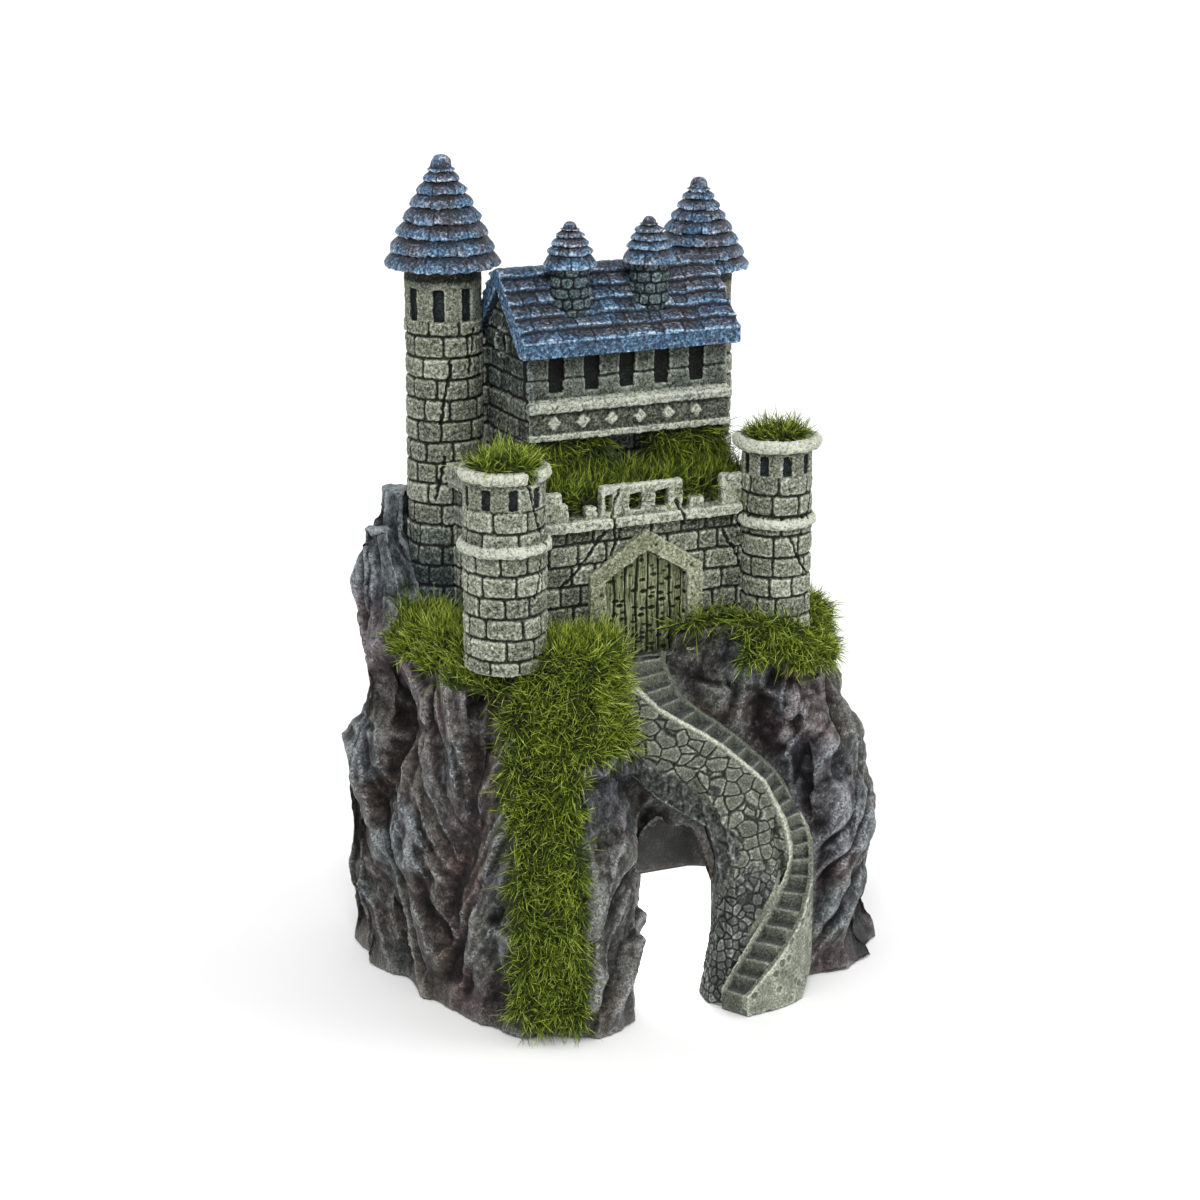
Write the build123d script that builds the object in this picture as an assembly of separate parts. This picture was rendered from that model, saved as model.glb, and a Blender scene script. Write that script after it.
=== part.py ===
from build123d import *

import math
import os

# A castle on a hollow rock, cast in polyester resin for an aquarium: a rock shell with a cave
# mouth, a curling flight of steps up to a gate, two round bastions, a hall with a tiled roof,
# two tall round towers and pads of flocked moss.
# Millimetres, +Z up, +X to the castle's right as the gate is faced, -Y the way the gate looks.
# The origin is the centre of the rock's footprint, on the plane that the rock stands on.

# ---------------------------------------------------------------- driving dimensions
ROCK_WIDTH = 124.0
ROCK_DEPTH = 99.2
SHELF_Z = 88.0  # top of the rock, where the castle stands
ROCK_WALL = 7.0  # thickness of the hollow rock's wall
CAVE_ROOF_Z = SHELF_Z - 30.0
MOUTH_X = -9.5  # middle of the cave mouth's sill
MOUTH_WIDTH = 20.0
MOUTH_HEIGHT = 42.0
OUTCROP_Z = SHELF_Z + 28.0  # crag behind the left tower

GLUE_GAP = 0.15  # adhesive film round a spigot or a casting in its seat
SEAT_DEPTH = 2.0  # how far a casting is let into the shelf

GATE_SILL_Z = SHELF_Z - 6.0
WALL_WIDTH = 66.0
WALL_THICKNESS = 4.0
WALL_FRONT_Y = -19.0
STRING_ABOVE_SILL = 31.5  # underside of the string course above the sill
STRING_HEIGHT = 2.4
STRING_PROUD = 1.3
PARAPET_HEIGHT = 7.2
GATE_X = -3.1
GATE_WIDTH = 29.0
GATE_SHOULDER = 20.5  # height of the arch's shoulders above the sill
GATE_RISE = 10.0  # height of the arch's point above its shoulders
GATE_BAR = 4.0  # width of the stone surround
GATE_PROUD = 1.8
DOOR_THICKNESS = 1.4
DOOR_RECESS = 0.6  # how far the boards sit behind the wall's face

LEFT_BASTION = dict(x=-40.7, y=-25.0, r=9.3, rim_r=10.5, ring_r=10.7, ring_up=28.5, height=46.0)
RIGHT_BASTION = dict(x=30.3, y=-21.0, r=8.2, rim_r=10.5, ring_r=9.4, ring_up=26.0, height=45.5)
BASTION_CUP = 5.0  # depth of the planted cup in a bastion's top
BASTION_WALL = 1.6
NOTCH_ANGLE = -72.0  # where the left bastion's rim is broken, from +X
NOTCH_WIDTH = 3.2

TERRACE_TOP_Z = SHELF_Z + 29.0
TERRACE_WIDTH = 56.0  # as far as the hall's floor needs it; on the left it runs on to the side wall
HALL_X = -0.5
HALL_WIDTH = 51.4
HALL_DEPTH = 27.0
HALL_FRONT_Y = -5.0
HALL_FLOOR_Z = TERRACE_TOP_Z + 15.0
EAVES_Z = HALL_FLOOR_Z + 19.5
RIDGE_Z = EAVES_Z + 17.3
JETTY = 4.0  # how far the hall oversails the storey below
LEDGE_HEIGHT = 2.0
LEDGE_PROUD = 2.3
BAND_PROUD = 1.2  # how far the diamond band stands out below the windows
SILL_SLOPE = 1.1  # fall of the upper ledge's weathered top
UPPER_LEDGE_Z = HALL_FLOOR_Z + 6.6
HALL_WINDOWS = 5
WINDOW_WIDTH = 3.8
WINDOW_HEIGHT = 8.2
WINDOW_PITCH = 9.0
WINDOW_DEPTH = 1.6
DIAMONDS = 6
DIAMOND_PITCH = 7.3
DIAMOND_SIZE = 2.3
SIDE_WALL_X = LEFT_BASTION["x"] + 4.6  # middle of the wall from the gate wall back to the left tower
SIDE_WALL_THICKNESS = 3.6
SIDE_WALL_TOP_Z = SHELF_Z + 37.0
SIDE_HEAD_HEIGHT = 5.6  # the oversailing courses at the side wall's top
SIDE_HEAD_PROUD = 1.6
EAVES_PROUD = 3.0
VERGE_PROUD = 2.0
ROOF_THICKNESS = 3.4
OCULUS_R = 2.6

DORMER_R = 4.5
DORMER_CAP_R = 6.2
DORMER_CAP_HEIGHT = 10.6
DORMER_BOTTOM_Z = EAVES_Z + 6.0
DORMER_TOP_Z = EAVES_Z + 19.3
DORMER_Y = HALL_FRONT_Y + 6.0
DORMER_XS = (HALL_X - 12.2, HALL_X + 8.0)

LEFT_TOWER = dict(
    x=HALL_X - HALL_WIDTH / 2 - 10.0, y=21.0, r=9.0, top=SHELF_Z + 82.0, roof_r=13.6, roof_height=26.5
)
RIGHT_TOWER = dict(
    x=HALL_X + HALL_WIDTH / 2 + 4.3, y=19.0, r=8.2, top=SHELF_Z + 77.4, roof_r=12.2, roof_height=22.4
)
TOWER_WINDOWS = 8
TOWER_WINDOW_WIDTH = 2.6
TOWER_WINDOW_HEIGHT = 7.6
TOWER_WINDOW_DROP = 4.6  # from the wall head down to the windows' heads
SPIGOT_R = 3.0
SPIGOT_LENGTH = 4.0
TILE_COURSES = 8

STEP_COUNT = 24
STAIR_DEPTH = 20.0  # from a tread down to the soffit of the flight
PARAPET_UP = 2.6  # stair parapet above the treads
STAIR_PARAPET = 1.3  # thickness of the stair parapets
# the winding flight: height of the tread as a share of the sill's, then the plan of its outer edges
STAIR_LINE = [
    (1.0, (-12, -20.9), (1.4, -20.9)),
    (0.93, (-11, -24.5), (2.2, -21.2)),
    (0.83, (-3, -28), (6.3, -22)),
    (0.73, (10, -31.5), (17, -24.5)),
    (0.6, (21.6, -33.6), (28.2, -27)),
    (0.46, (26.9, -35), (34.4, -31.5)),
    (0.39, (27.5, -35.8), (34.2, -35.3)),
    (0.32, (26, -36.5), (31.9, -40)),
    (0.22, (20, -39), (25.8, -46.2)),
    (0.13, (12.2, -41.5), (19, -48.7)),
    (0.03, (6, -42.5), (9.5, -49.6)),
]

MOSS = 2.2  # thickness of a moss pad


# ---------------------------------------------------------------- helpers
def box_between(x, y, z):
    """A box from three (low, high) pairs."""
    return Pos(x[0], y[0], z[0]) * Box(
        x[1] - x[0], y[1] - y[0], z[1] - z[0], align=(Align.MIN, Align.MIN, Align.MIN)
    )


def cylinder_at(x, y, r, z0, z1):
    return Pos(x, y, z0) * Cylinder(r, z1 - z0, align=(Align.CENTER, Align.CENTER, Align.MIN))


def turned(x, y, profile):
    """A solid turned about the upright axis through x, y, from (radius, z) points."""
    face = Plane.XZ * make_face(Polyline(*profile, close=True))
    return Pos(x, y, 0) * revolve(face, Axis.Z)


def torus_at(x, y, ring_r, bar_r, z):
    return Pos(x, y, z) * Torus(ring_r, bar_r)


def prism(points, z0, z1):
    """An upright prism on a plan outline."""
    face = make_face(Polyline(*points, close=True))
    return Pos(0, 0, z0) * extrude(face, z1 - z0, dir=(0, 0, 1))


def crag(outline, stations):
    """Stacked frusta: the same outline at each (z, scale, shift x, shift y), so every face is flat."""
    rings = [
        [(x * s + dx, y * s + dy, z) for x, y in outline] for z, s, dx, dy in stations
    ]
    faces = [Face(Wire.make_polygon(rings[0])), Face(Wire.make_polygon(rings[-1]))]
    for low, high in zip(rings, rings[1:]):
        for i in range(len(outline)):
            j = (i + 1) % len(outline)
            faces.append(Face(Wire.make_polygon([low[i], low[j], high[j], high[i]])))
    return Solid(Shell(faces))


def rib_outline(radius, sides, squash, turn, lumps):
    """An irregular polygon round 0, 0, from a formula: sides, squash along Y, turn in degrees."""
    points = []
    for i in range(sides):
        a = 2 * math.pi * i / sides
        r = radius * (1 + 0.16 * math.sin(lumps * a + lumps) + 0.07 * math.cos(5 * a))
        x, y = r * math.cos(a), r * squash * math.sin(a)
        t = math.radians(turn)
        points.append((x * math.cos(t) - y * math.sin(t), x * math.sin(t) + y * math.cos(t)))
    return points


def one(shape):
    """The main solid in a boolean's result, without any sliver that the cut left."""
    return max(shape.solids(), key=lambda s: s.volume)


# ---------------------------------------------------------------- rock
HALF_W, HALF_D = ROCK_WIDTH / 2, ROCK_DEPTH / 2
SEAT_Z = SHELF_Z - SEAT_DEPTH


def rock_outline():
    """The rock's footprint, from the back left corner round to the left flank."""
    return [
        (-HALF_W + 4, HALF_D - 17),
        (-HALF_W + 19, HALF_D),
        (HALF_W - 16, HALF_D),
        (HALF_W - 3, HALF_D - 8),
        (HALF_W, 8),
        (HALF_W, -20),
        (HALF_W - 8, -27),
        (HALF_W - 17, -36),
        (28, -35),
        (12, -30),
        (-6, -26),
        (-14.4, -37.5),
        (-27, -46.5),
        (-41, -38),
        (-HALF_W + 12.5, -28),
        (-HALF_W + 8, -10),
        (-HALF_W + 6, 12),
    ]


def rock_mass():
    """The rock before it is hollowed: a core and the crags that stand out of it."""
    core = crag(
        rock_outline(),
        [(0, 1, 0, 0), (46, 0.965, -2.2, 0), (66, 0.9, -3.6, 0), (SHELF_Z, 0.79, -5.5, 0.5)],
    )
    w, d, top = HALF_W, HALF_D, SHELF_Z
    ribs = [
        # (radius, sides, squash, turn, lumps), then (z, scale, x, y) stations
        ((11, 8, 1.1, 20, 2), [(0, 0.9, 14 - w, 28), (46, 0.9, 12.5 - w, 27.5), (66, 0.6, 14.5 - w, 28),
                               (100, 0.64, -48, 28.5), (OUTCROP_Z, 0.36, -44.5, 29)]),
        ((10, 7, 1.2, 55, 3), [(0, 1, 13 - w, 12), (36, 1.06, 12 - w, 13), (72, 0.8, 13 - w, 16),
                               (108, 0.42, -51, 26)]),
        ((9, 8, 1.0, 10, 2), [(0, 1, 15.5 - w, -6), (40, 0.95, 14 - w, -5), (78, 0.55, 16 - w, -5),
                              (top - 3, 0.25, -46, -6)]),
        ((8.5, 7, 1.1, 35, 3), [(0, 1, 20 - w, -22), (44, 0.9, 17 - w, -19), (80, 0.45, 15 - w, -16)]),
        ((9, 8, 0.9, 0, 2), [(0, 1, -37, -33.5), (50, 0.85, -37.5, -32), (76, 0.45, -38, -30)]),
        ((8, 7, 1.0, 30, 3), [(0, 1, -22.5, -38), (40, 0.85, -21.5, -36.5), (72, 0.5, -20, -33)]),
        ((8, 8, 1.0, 15, 3), [(0, 1, 47, -27), (34, 0.9, 46, -26), (62, 0.6, 43.5, -24.5), (80, 0.3, 38, -25)]),
        ((10, 7, 1.1, 40, 2), [(0, 1, w - 11.5, -12), (40, 0.9, w - 14, -12), (76, 0.5, 40, -12)]),
        ((10.5, 8, 1.2, 65, 3), [(0, 1, w - 13, 14), (36, 0.92, w - 14, 14), (80, 0.5, 38, 12)]),
        ((11, 7, 0.9, 15, 2), [(0, 1, w - 14, d - 13), (44, 0.85, w - 18, d - 14), (82, 0.5, 34, 28)]),
        ((10, 8, 0.8, 5, 3), [(0, 1, 20, d - 9.5), (50, 0.85, 16, d - 11), (84, 0.5, 10, 34)]),
        ((11, 7, 0.75, 0, 2), [(0, 1, -14, d - 9.5), (46, 0.9, -14, d - 11), (92, 0.55, -14, 32)]),
        ((5, 7, 0.9, 20, 2), [(top - 32, 1.1, 11.5, -21), (top - 16, 1.05, 10, -22),
                              (top - 9, 0.85, 9.5, -22), (top - 5.5, 0.4, 9.5, -21.5)]),
        ((10, 8, 0.8, 20, 3), [(0, 1, -36, d - 10), (50, 0.95, -36, d - 11.5), (96, 0.55, -34, 34)]),
    ]
    mass = core
    for outline, stations in ribs:
        mass = mass + crag(rib_outline(*outline), stations)
    return one(mass)


def cave():
    """The hollow under the shelf, a wall's thickness inside the rock, with a slanting back roof."""
    inner = [(x * (1 - ROCK_WALL / HALF_W), y * (1 - ROCK_WALL / HALF_D)) for x, y in rock_outline()]
    inner = [(x, max(y, -HALF_D + 3.2 * ROCK_WALL)) for x, y in inner]
    # the points in front of the cave's front wall fall into one line, so only its ends stay
    front = [p for p in inner if p[1] <= -HALF_D + 3.2 * ROCK_WALL + 1e-6]
    ends = [min(front), max(front)]
    inner = [p for p in inner if p not in front or p in ends]
    return crag(inner, [(-1, 1, 0, 0), (30, 0.97, -1.5, 0), (CAVE_ROOF_Z, 0.8, -3, 2)])


def mouth():
    """The arched way in, slanting from the front towards the cave's middle."""
    half = MOUTH_WIDTH / 2
    arch = [
        (-half, -1), (half, -1), (half, MOUTH_HEIGHT * 0.62), (half * 0.45, MOUTH_HEIGHT * 0.94),
        (-half * 0.35, MOUTH_HEIGHT), (-half, MOUTH_HEIGHT * 0.8),
    ]
    sill = Plane((MOUTH_X, -HALF_D - 4, 0), x_dir=(1, 0, 0), z_dir=(0, -1, 0))
    return extrude(sill * make_face(Polyline(*arch, close=True)), 42, dir=(0.36, 0.93, 0))


# ---------------------------------------------------------------- staircase
def tread_share(i):
    """Height of tread i as a share of the sill's height."""
    top, foot = STAIR_LINE[0][0], STAIR_LINE[-1][0]
    return top - (top - foot) * i / STEP_COUNT


def tread_z(i):
    return GATE_SILL_Z * tread_share(i)


def between(p, q, share):
    """The plan point a share of the way from p to q."""
    return (p[0] + (q[0] - p[0]) * share, p[1] + (q[1] - p[1]) * share)


def stair_edges(i):
    """Plan points of the flight's left and right outer edges at the riser of step i."""
    share = tread_share(i)
    for (high, left_up, right_up), (low, left_low, right_low) in zip(STAIR_LINE, STAIR_LINE[1:]):
        if share >= low - 1e-9:
            f = (high - share) / (high - low)
            return between(left_up, left_low, f), between(right_up, right_low, f)


def stair_section(i):
    """Left outer, left inner, right inner and right outer plan points at riser i."""
    left, right = stair_edges(i)
    width = math.dist(left, right)
    share = STAIR_PARAPET / width
    return left, between(left, right, share), between(right, left, share), right


def at(point, z):
    return (point[0], point[1], z)


def closed_solid(polygons):
    return Solid(Shell([Face(Wire.make_polygon(p)) for p in polygons]))


def slanted(a, b, c, d):
    """A four-sided patch as two flat triangles."""
    return [[a, b, c], [a, c, d]]


def staircase():
    """The flight as one closed skin: treads, risers, two coped parapets, side walls and soffit."""
    sections = [stair_section(i) for i in range(STEP_COUNT + 1)]
    cope = [tread_z(i) + PARAPET_UP for i in range(STEP_COUNT + 1)]
    low = [max(0, tread_z(i) - STAIR_DEPTH) for i in range(STEP_COUNT + 1)]
    skin = []
    for i in range(STEP_COUNT):
        (a0, b0, c0, d0), (a1, b1, c1, d1) = sections[i], sections[i + 1]
        z, drop = tread_z(i) - 0.8, tread_z(i + 1) - 0.8
        last = i == STEP_COUNT - 1
        skin.append([at(b0, z), at(b1, z), at(c1, z), at(c0, z)])
        if not last:
            skin.append([at(b1, z), at(b1, drop), at(c1, drop), at(c1, z)])
        for inner0, inner1, outer0, outer1 in ((b0, b1, a0, a1), (c0, c1, d0, d1)):
            wall = [at(inner0, z), at(inner1, z), at(inner1, cope[i + 1]), at(inner0, cope[i])]
            if i:
                wall.append(at(inner0, tread_z(i - 1) - 0.8))
            skin.append(wall)
            here, there = at(outer0, cope[i]), at(outer1, cope[i + 1])
            skin += slanted(at(inner0, cope[i]), at(inner1, cope[i + 1]), there, here)
            skin.append([here, there, at(outer1, low[i + 1]), at(outer0, low[i])])
        skin += slanted(at(a0, low[i]), at(a1, low[i + 1]), at(d1, low[i + 1]), at(d0, low[i]))
    for i, z in ((0, tread_z(0) - 0.8), (STEP_COUNT, tread_z(STEP_COUNT - 1) - 0.8)):
        a, b, c, d = sections[i]
        skin.append([
            at(a, low[i]), at(a, cope[i]), at(b, cope[i]), at(b, z),
            at(c, z), at(c, cope[i]), at(d, cope[i]), at(d, low[i]),
        ])
    return one(closed_solid(skin) + newel_mass())


def newel_mass():
    """The rounded mass inside the turn of the flight, leaning over the cave mouth as it rises."""
    outline = [(-11, -2), (-8, -6), (5, -6.5), (9, -4), (10, 3), (6, 6.5), (-5, 6.5), (-10, 4)]
    stations = [
        (0, 1, 15.5, -36), (18, 0.84, 17.8, -34), (32, 0.78, 19.2, -31.2),
        (44, 0.84, 16.5, -29.8), (57, 0.7, 10.5, -26.5),
    ]
    return crag(outline, stations)


def stair_well():
    """The air above the flight, which the rock leaves free."""
    edges = [stair_edges(i) for i in range(STEP_COUNT + 1)]
    well = None
    for i in range(0, STEP_COUNT, 4):
        left = [e[0] for e in edges[i:i + 5]]
        right = [e[1] for e in edges[i:i + 5]]
        block = prism(left + right[::-1], tread_z(i + 4) - 1, tread_z(i) + 24)
        well = block if well is None else well + block
    return well


# ---------------------------------------------------------------- front wall and gate
WALL_BACK_Y = WALL_FRONT_Y + WALL_THICKNESS
WALL_X = (LEFT_BASTION["x"] + RIGHT_BASTION["x"]) / 2
STRING_Z = GATE_SILL_Z + STRING_ABOVE_SILL
PARAPET_Z = STRING_Z + STRING_HEIGHT


def gate_outline(grow):
    """The pointed opening, grown outwards by grow, as (x, z) points from the sill."""
    half = GATE_WIDTH / 2 - GATE_BAR + grow
    shoulder = GATE_SILL_Z + GATE_SHOULDER - 1.2 + grow * 0.4
    point = GATE_SILL_Z + GATE_SHOULDER + GATE_RISE - GATE_BAR * 1.25 + grow * 1.25
    return [
        (GATE_X - half, GATE_SILL_Z), (GATE_X + half, GATE_SILL_Z), (GATE_X + half, shoulder),
        (GATE_X, point), (GATE_X - half, shoulder),
    ]


def upright(outline, y0, y1):
    """An (x, z) outline run from y0 to y1."""
    face = Plane.XZ * make_face(Polyline(*outline, close=True))
    return Pos(0, y0, 0) * extrude(face, y1 - y0, dir=(0, 1, 0))


def bastion_envelope(b, gap):
    """The room that a bastion takes up, with a gap round it."""
    x, y = b["x"], b["y"]
    ring, top = SEAT_Z + b["ring_up"], SEAT_Z + b["height"]
    shaft = cylinder_at(x, y, b["r"] + gap, SEAT_Z - gap, top + 10)
    shaft += cylinder_at(x, y, b["ring_r"] + gap, ring - 2 - gap, ring + 2 + gap)
    return shaft + cylinder_at(x, y, b["rim_r"] + gap, top - 3 - gap, top + 10)


def curtain_wall():
    x0, x1 = WALL_X - WALL_WIDTH / 2, WALL_X + WALL_WIDTH / 2
    wall = box_between((x0, x1), (WALL_FRONT_Y, WALL_BACK_Y), (GATE_SILL_Z, PARAPET_Z))
    wall += box_between((x0, x1), (WALL_FRONT_Y - STRING_PROUD, WALL_FRONT_Y), (STRING_Z, PARAPET_Z))
    top = PARAPET_Z + PARAPET_HEIGHT
    merlons = [
        (x0, WALL_X - 18.6, top - 0.4),
        (WALL_X - 18.6, WALL_X - 17.0, PARAPET_Z + 4.0),
        (WALL_X - 12.6, WALL_X - 9.8, PARAPET_Z + 2.8),
        (WALL_X - 8.8, WALL_X + 12.0, top),
        (WALL_X + 14.0, WALL_X + 17.6, PARAPET_Z + 2.6),
        (WALL_X + 22.2, x1, top - 0.2),
    ]
    for a, b, z in merlons:
        wall += box_between((a, b), (WALL_FRONT_Y, WALL_FRONT_Y + 2.6), (PARAPET_Z, z))
    for k, half in enumerate((0.9, 1.6, 1.7)):
        middle = WALL_X - 6.9 + 6.8 * k
        hole = (middle - half, middle + half)
        wall -= box_between(hole, (WALL_FRONT_Y - 1, WALL_FRONT_Y + 3), (PARAPET_Z + 1.1, PARAPET_Z + 5.2))
    pocket = upright(gate_outline(0), WALL_FRONT_Y - 2, WALL_FRONT_Y + DOOR_RECESS + DOOR_THICKNESS)
    wall -= pocket
    for b in (LEFT_BASTION, RIGHT_BASTION):
        wall -= bastion_envelope(b, GLUE_GAP)
    return one(wall)


def gate_surround():
    """The stone frame bedded on the wall's face, with the steps let in at its foot."""
    bar = upright(gate_outline(GATE_BAR), WALL_FRONT_Y - GATE_PROUD, WALL_FRONT_Y)
    opening = [(x, z - 1 if z == GATE_SILL_Z else z) for x, z in gate_outline(0)]
    bar -= upright(opening, WALL_FRONT_Y - 3, WALL_FRONT_Y + 1)
    bar -= box_between((-200, 200), (-200, 200), (STRING_Z, 300))
    return one(bar)


def gate_door():
    front = WALL_FRONT_Y + DOOR_RECESS
    return upright(gate_outline(-GLUE_GAP), front, front + DOOR_THICKNESS)


def bastion(b):
    """A round bastion with a string ring, a thick broken rim and a cup for its moss."""
    x, y, top = b["x"], b["y"], SEAT_Z + b["height"]
    shape = cylinder_at(x, y, b["r"], SEAT_Z, top)
    shape += torus_at(x, y, b["ring_r"] - 1.3, 1.3, SEAT_Z + b["ring_up"])
    shape += torus_at(x, y, b["rim_r"] - 1.5, 1.5, top - 1)
    shape -= cylinder_at(x, y, b["r"] - BASTION_WALL, top - BASTION_CUP, top + 5)
    count = 9
    for k in range(count):
        a = 360 * (k + 0.5) / count
        slot = box_between((b["r"] - 0.9, b["r"] + 1), (-1.1, 1.1), (top - 8.2, top - 3.4))
        shape -= Pos(x, y, 0) * Rot(0, 0, a) * slot
    if b is LEFT_BASTION:
        reach = (b["r"] - BASTION_WALL - 0.5, b["rim_r"] + 1)
        notch = box_between(reach, (-NOTCH_WIDTH / 2, NOTCH_WIDTH / 2), (top - 2.9, top + 2))
        shape -= Pos(x, y, 0) * Rot(0, 0, NOTCH_ANGLE) * notch
    return one(shape)


def bastion_moss(b):
    """The pad that fills a bastion's cup, domed above its rim."""
    x, y, top = b["x"], b["y"], SEAT_Z + b["height"]
    r = b["r"] - BASTION_WALL
    floor = top - BASTION_CUP
    return turned(x, y, [(0, floor), (r, floor), (r, top), (r * 0.6, top + 1.5), (0, top + 2.1)])


# ---------------------------------------------------------------- hall
HALL_LEFT, HALL_RIGHT = HALL_X - HALL_WIDTH / 2, HALL_X + HALL_WIDTH / 2
HALL_BACK_Y = HALL_FRONT_Y + HALL_DEPTH
RIDGE_Y = (HALL_FRONT_Y + HALL_BACK_Y) / 2
ROOF_SLOPE = (RIDGE_Z - EAVES_Z) / (RIDGE_Y - HALL_FRONT_Y + EAVES_PROUD)
SIDE_WALL_IN, SIDE_WALL_OUT = SIDE_WALL_X + SIDE_WALL_THICKNESS / 2, SIDE_WALL_X - SIDE_WALL_THICKNESS / 2
TERRACE_X = (SIDE_WALL_IN, HALL_X + TERRACE_WIDTH / 2)


def tower_envelope(t, gap):
    return cylinder_at(t["x"], t["y"], t["r"] + gap, SEAT_Z - gap, t["top"] + 40)


def clear_of_towers(shape):
    for t in (LEFT_TOWER, RIGHT_TOWER):
        shape = shape - tower_envelope(t, GLUE_GAP)
    return one(shape)


def terrace_block():
    """The lower storey behind the front wall. Its flat top carries the moss and the hall."""
    block = box_between(TERRACE_X, (WALL_BACK_Y, HALL_BACK_Y), (SEAT_Z, TERRACE_TOP_Z))
    for b in (LEFT_BASTION, RIGHT_BASTION):
        block -= bastion_envelope(b, GLUE_GAP)
    return clear_of_towers(block)


def hall_base():
    """The set-back storey that carries the hall, flush with its left gable."""
    wide, deep = (HALL_LEFT, HALL_RIGHT - JETTY / 2), (HALL_FRONT_Y + JETTY, HALL_BACK_Y)
    return clear_of_towers(box_between(wide, deep, (TERRACE_TOP_Z, HALL_FLOOR_Z)))


def hall():
    """The jettied hall: two ledges, a row of blind windows, a band of diamonds and two gables."""
    body = box_between((HALL_LEFT, HALL_RIGHT), (HALL_FRONT_Y, HALL_BACK_Y), (HALL_FLOOR_Z, EAVES_Z))
    rise = ROOF_SLOPE * (RIDGE_Y - HALL_FRONT_Y)
    gable = [(HALL_FRONT_Y, EAVES_Z), (HALL_BACK_Y, EAVES_Z), (RIDGE_Y, EAVES_Z + rise)]
    face = Plane.YZ * make_face(Polyline(*gable, close=True))
    body += Pos(HALL_LEFT, 0, 0) * extrude(face, HALL_WIDTH, dir=(1, 0, 0))
    ledge_top = UPPER_LEDGE_Z + LEDGE_HEIGHT
    for z0, z1, proud in (
        (HALL_FLOOR_Z, HALL_FLOOR_Z + 1.5, LEDGE_PROUD - 0.4),
        (HALL_FLOOR_Z + 1.5, UPPER_LEDGE_Z, BAND_PROUD),
        (UPPER_LEDGE_Z, ledge_top, LEDGE_PROUD),
    ):
        wide = (HALL_LEFT - 0.2 * proud, HALL_RIGHT + 0.2 * proud)
        body += box_between(wide, (HALL_FRONT_Y - proud, HALL_BACK_Y), (z0, z1))
    sill = [
        (HALL_FRONT_Y - LEDGE_PROUD, ledge_top), (HALL_FRONT_Y, ledge_top + SILL_SLOPE),
        (HALL_FRONT_Y, ledge_top),
    ]
    face = Plane.YZ * make_face(Polyline(*sill, close=True))
    body += Pos(HALL_LEFT, 0, 0) * extrude(face, HALL_WIDTH, dir=(1, 0, 0))
    for k in range(HALL_WINDOWS):
        x = HALL_X - 0.4 + WINDOW_PITCH * (k - (HALL_WINDOWS - 1) / 2)
        z = EAVES_Z - WINDOW_HEIGHT - 0.4
        wide = (x - WINDOW_WIDTH / 2, x + WINDOW_WIDTH / 2)
        body -= box_between(wide, (HALL_FRONT_Y - 2, HALL_FRONT_Y + WINDOW_DEPTH), (z, z + WINDOW_HEIGHT))
    for k in range(DIAMONDS):
        x = HALL_X - 1.4 + DIAMOND_PITCH * (k - (DIAMONDS - 1) / 2)
        middle = (HALL_FLOOR_Z + 1.5 + UPPER_LEDGE_Z) / 2
        stud = Box(DIAMOND_SIZE, 1.4, DIAMOND_SIZE)
        body += Pos(x, HALL_FRONT_Y - BAND_PROUD, middle) * Rot(0, 45, 0) * stud
    for side in (HALL_LEFT, HALL_RIGHT):
        eye = Pos(side, RIDGE_Y, EAVES_Z + 1.5) * Rot(0, 90, 0) * Cylinder(OCULUS_R, 2.4)
        body -= eye
    body -= dormer_seats()
    for t in (LEFT_TOWER, RIGHT_TOWER):
        body -= tower_roof_envelope(t)
    return clear_of_towers(body)


def hall_roof():
    """A tiled saddle roof that drops over the gables, with a heavy eaves board."""
    x0, x1 = HALL_LEFT - VERGE_PROUD, HALL_RIGHT + VERGE_PROUD
    front, back = HALL_FRONT_Y - EAVES_PROUD, HALL_BACK_Y + EAVES_PROUD
    under = EAVES_Z
    outline = [
        (front, under), (front, under + ROOF_THICKNESS), (RIDGE_Y - 1, RIDGE_Z + ROOF_THICKNESS * 0.35),
        (RIDGE_Y + 1, RIDGE_Z + ROOF_THICKNESS * 0.35), (back, under + ROOF_THICKNESS), (back, under),
        (HALL_BACK_Y, under), (RIDGE_Y, EAVES_Z + ROOF_SLOPE * (RIDGE_Y - HALL_FRONT_Y)),
        (HALL_FRONT_Y, under),
    ]
    face = Plane.YZ * make_face(Polyline(*outline, close=True))
    roof = Pos(x0, 0, 0) * extrude(face, x1 - x0, dir=(1, 0, 0))
    roof -= dormer_seats()
    for t in (LEFT_TOWER, RIGHT_TOWER):
        roof -= tower_envelope(t, GLUE_GAP)
        roof -= tower_roof_envelope(t)
    return one(roof)


def dormer_profile(grow):
    low, top = DORMER_BOTTOM_Z, DORMER_TOP_Z + 2 * grow
    return [
        (0, low - grow), (1.6 + grow, low - grow), (DORMER_R * 0.8 + grow, low + 1.6 - grow),
        (DORMER_R + grow, low + 4), (DORMER_R + grow, top), (0, top),
    ]


def dormer_seats():
    left, right = (turned(x, DORMER_Y, dormer_profile(GLUE_GAP)) for x in DORMER_XS)
    return left + right


def dormer(x):
    socket = cylinder_at(x, DORMER_Y, SPIGOT_R * 0.6 + GLUE_GAP, DORMER_TOP_Z - SPIGOT_LENGTH, DORMER_TOP_Z + 1)
    return one(turned(x, DORMER_Y, dormer_profile(0)) - socket)


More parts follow.
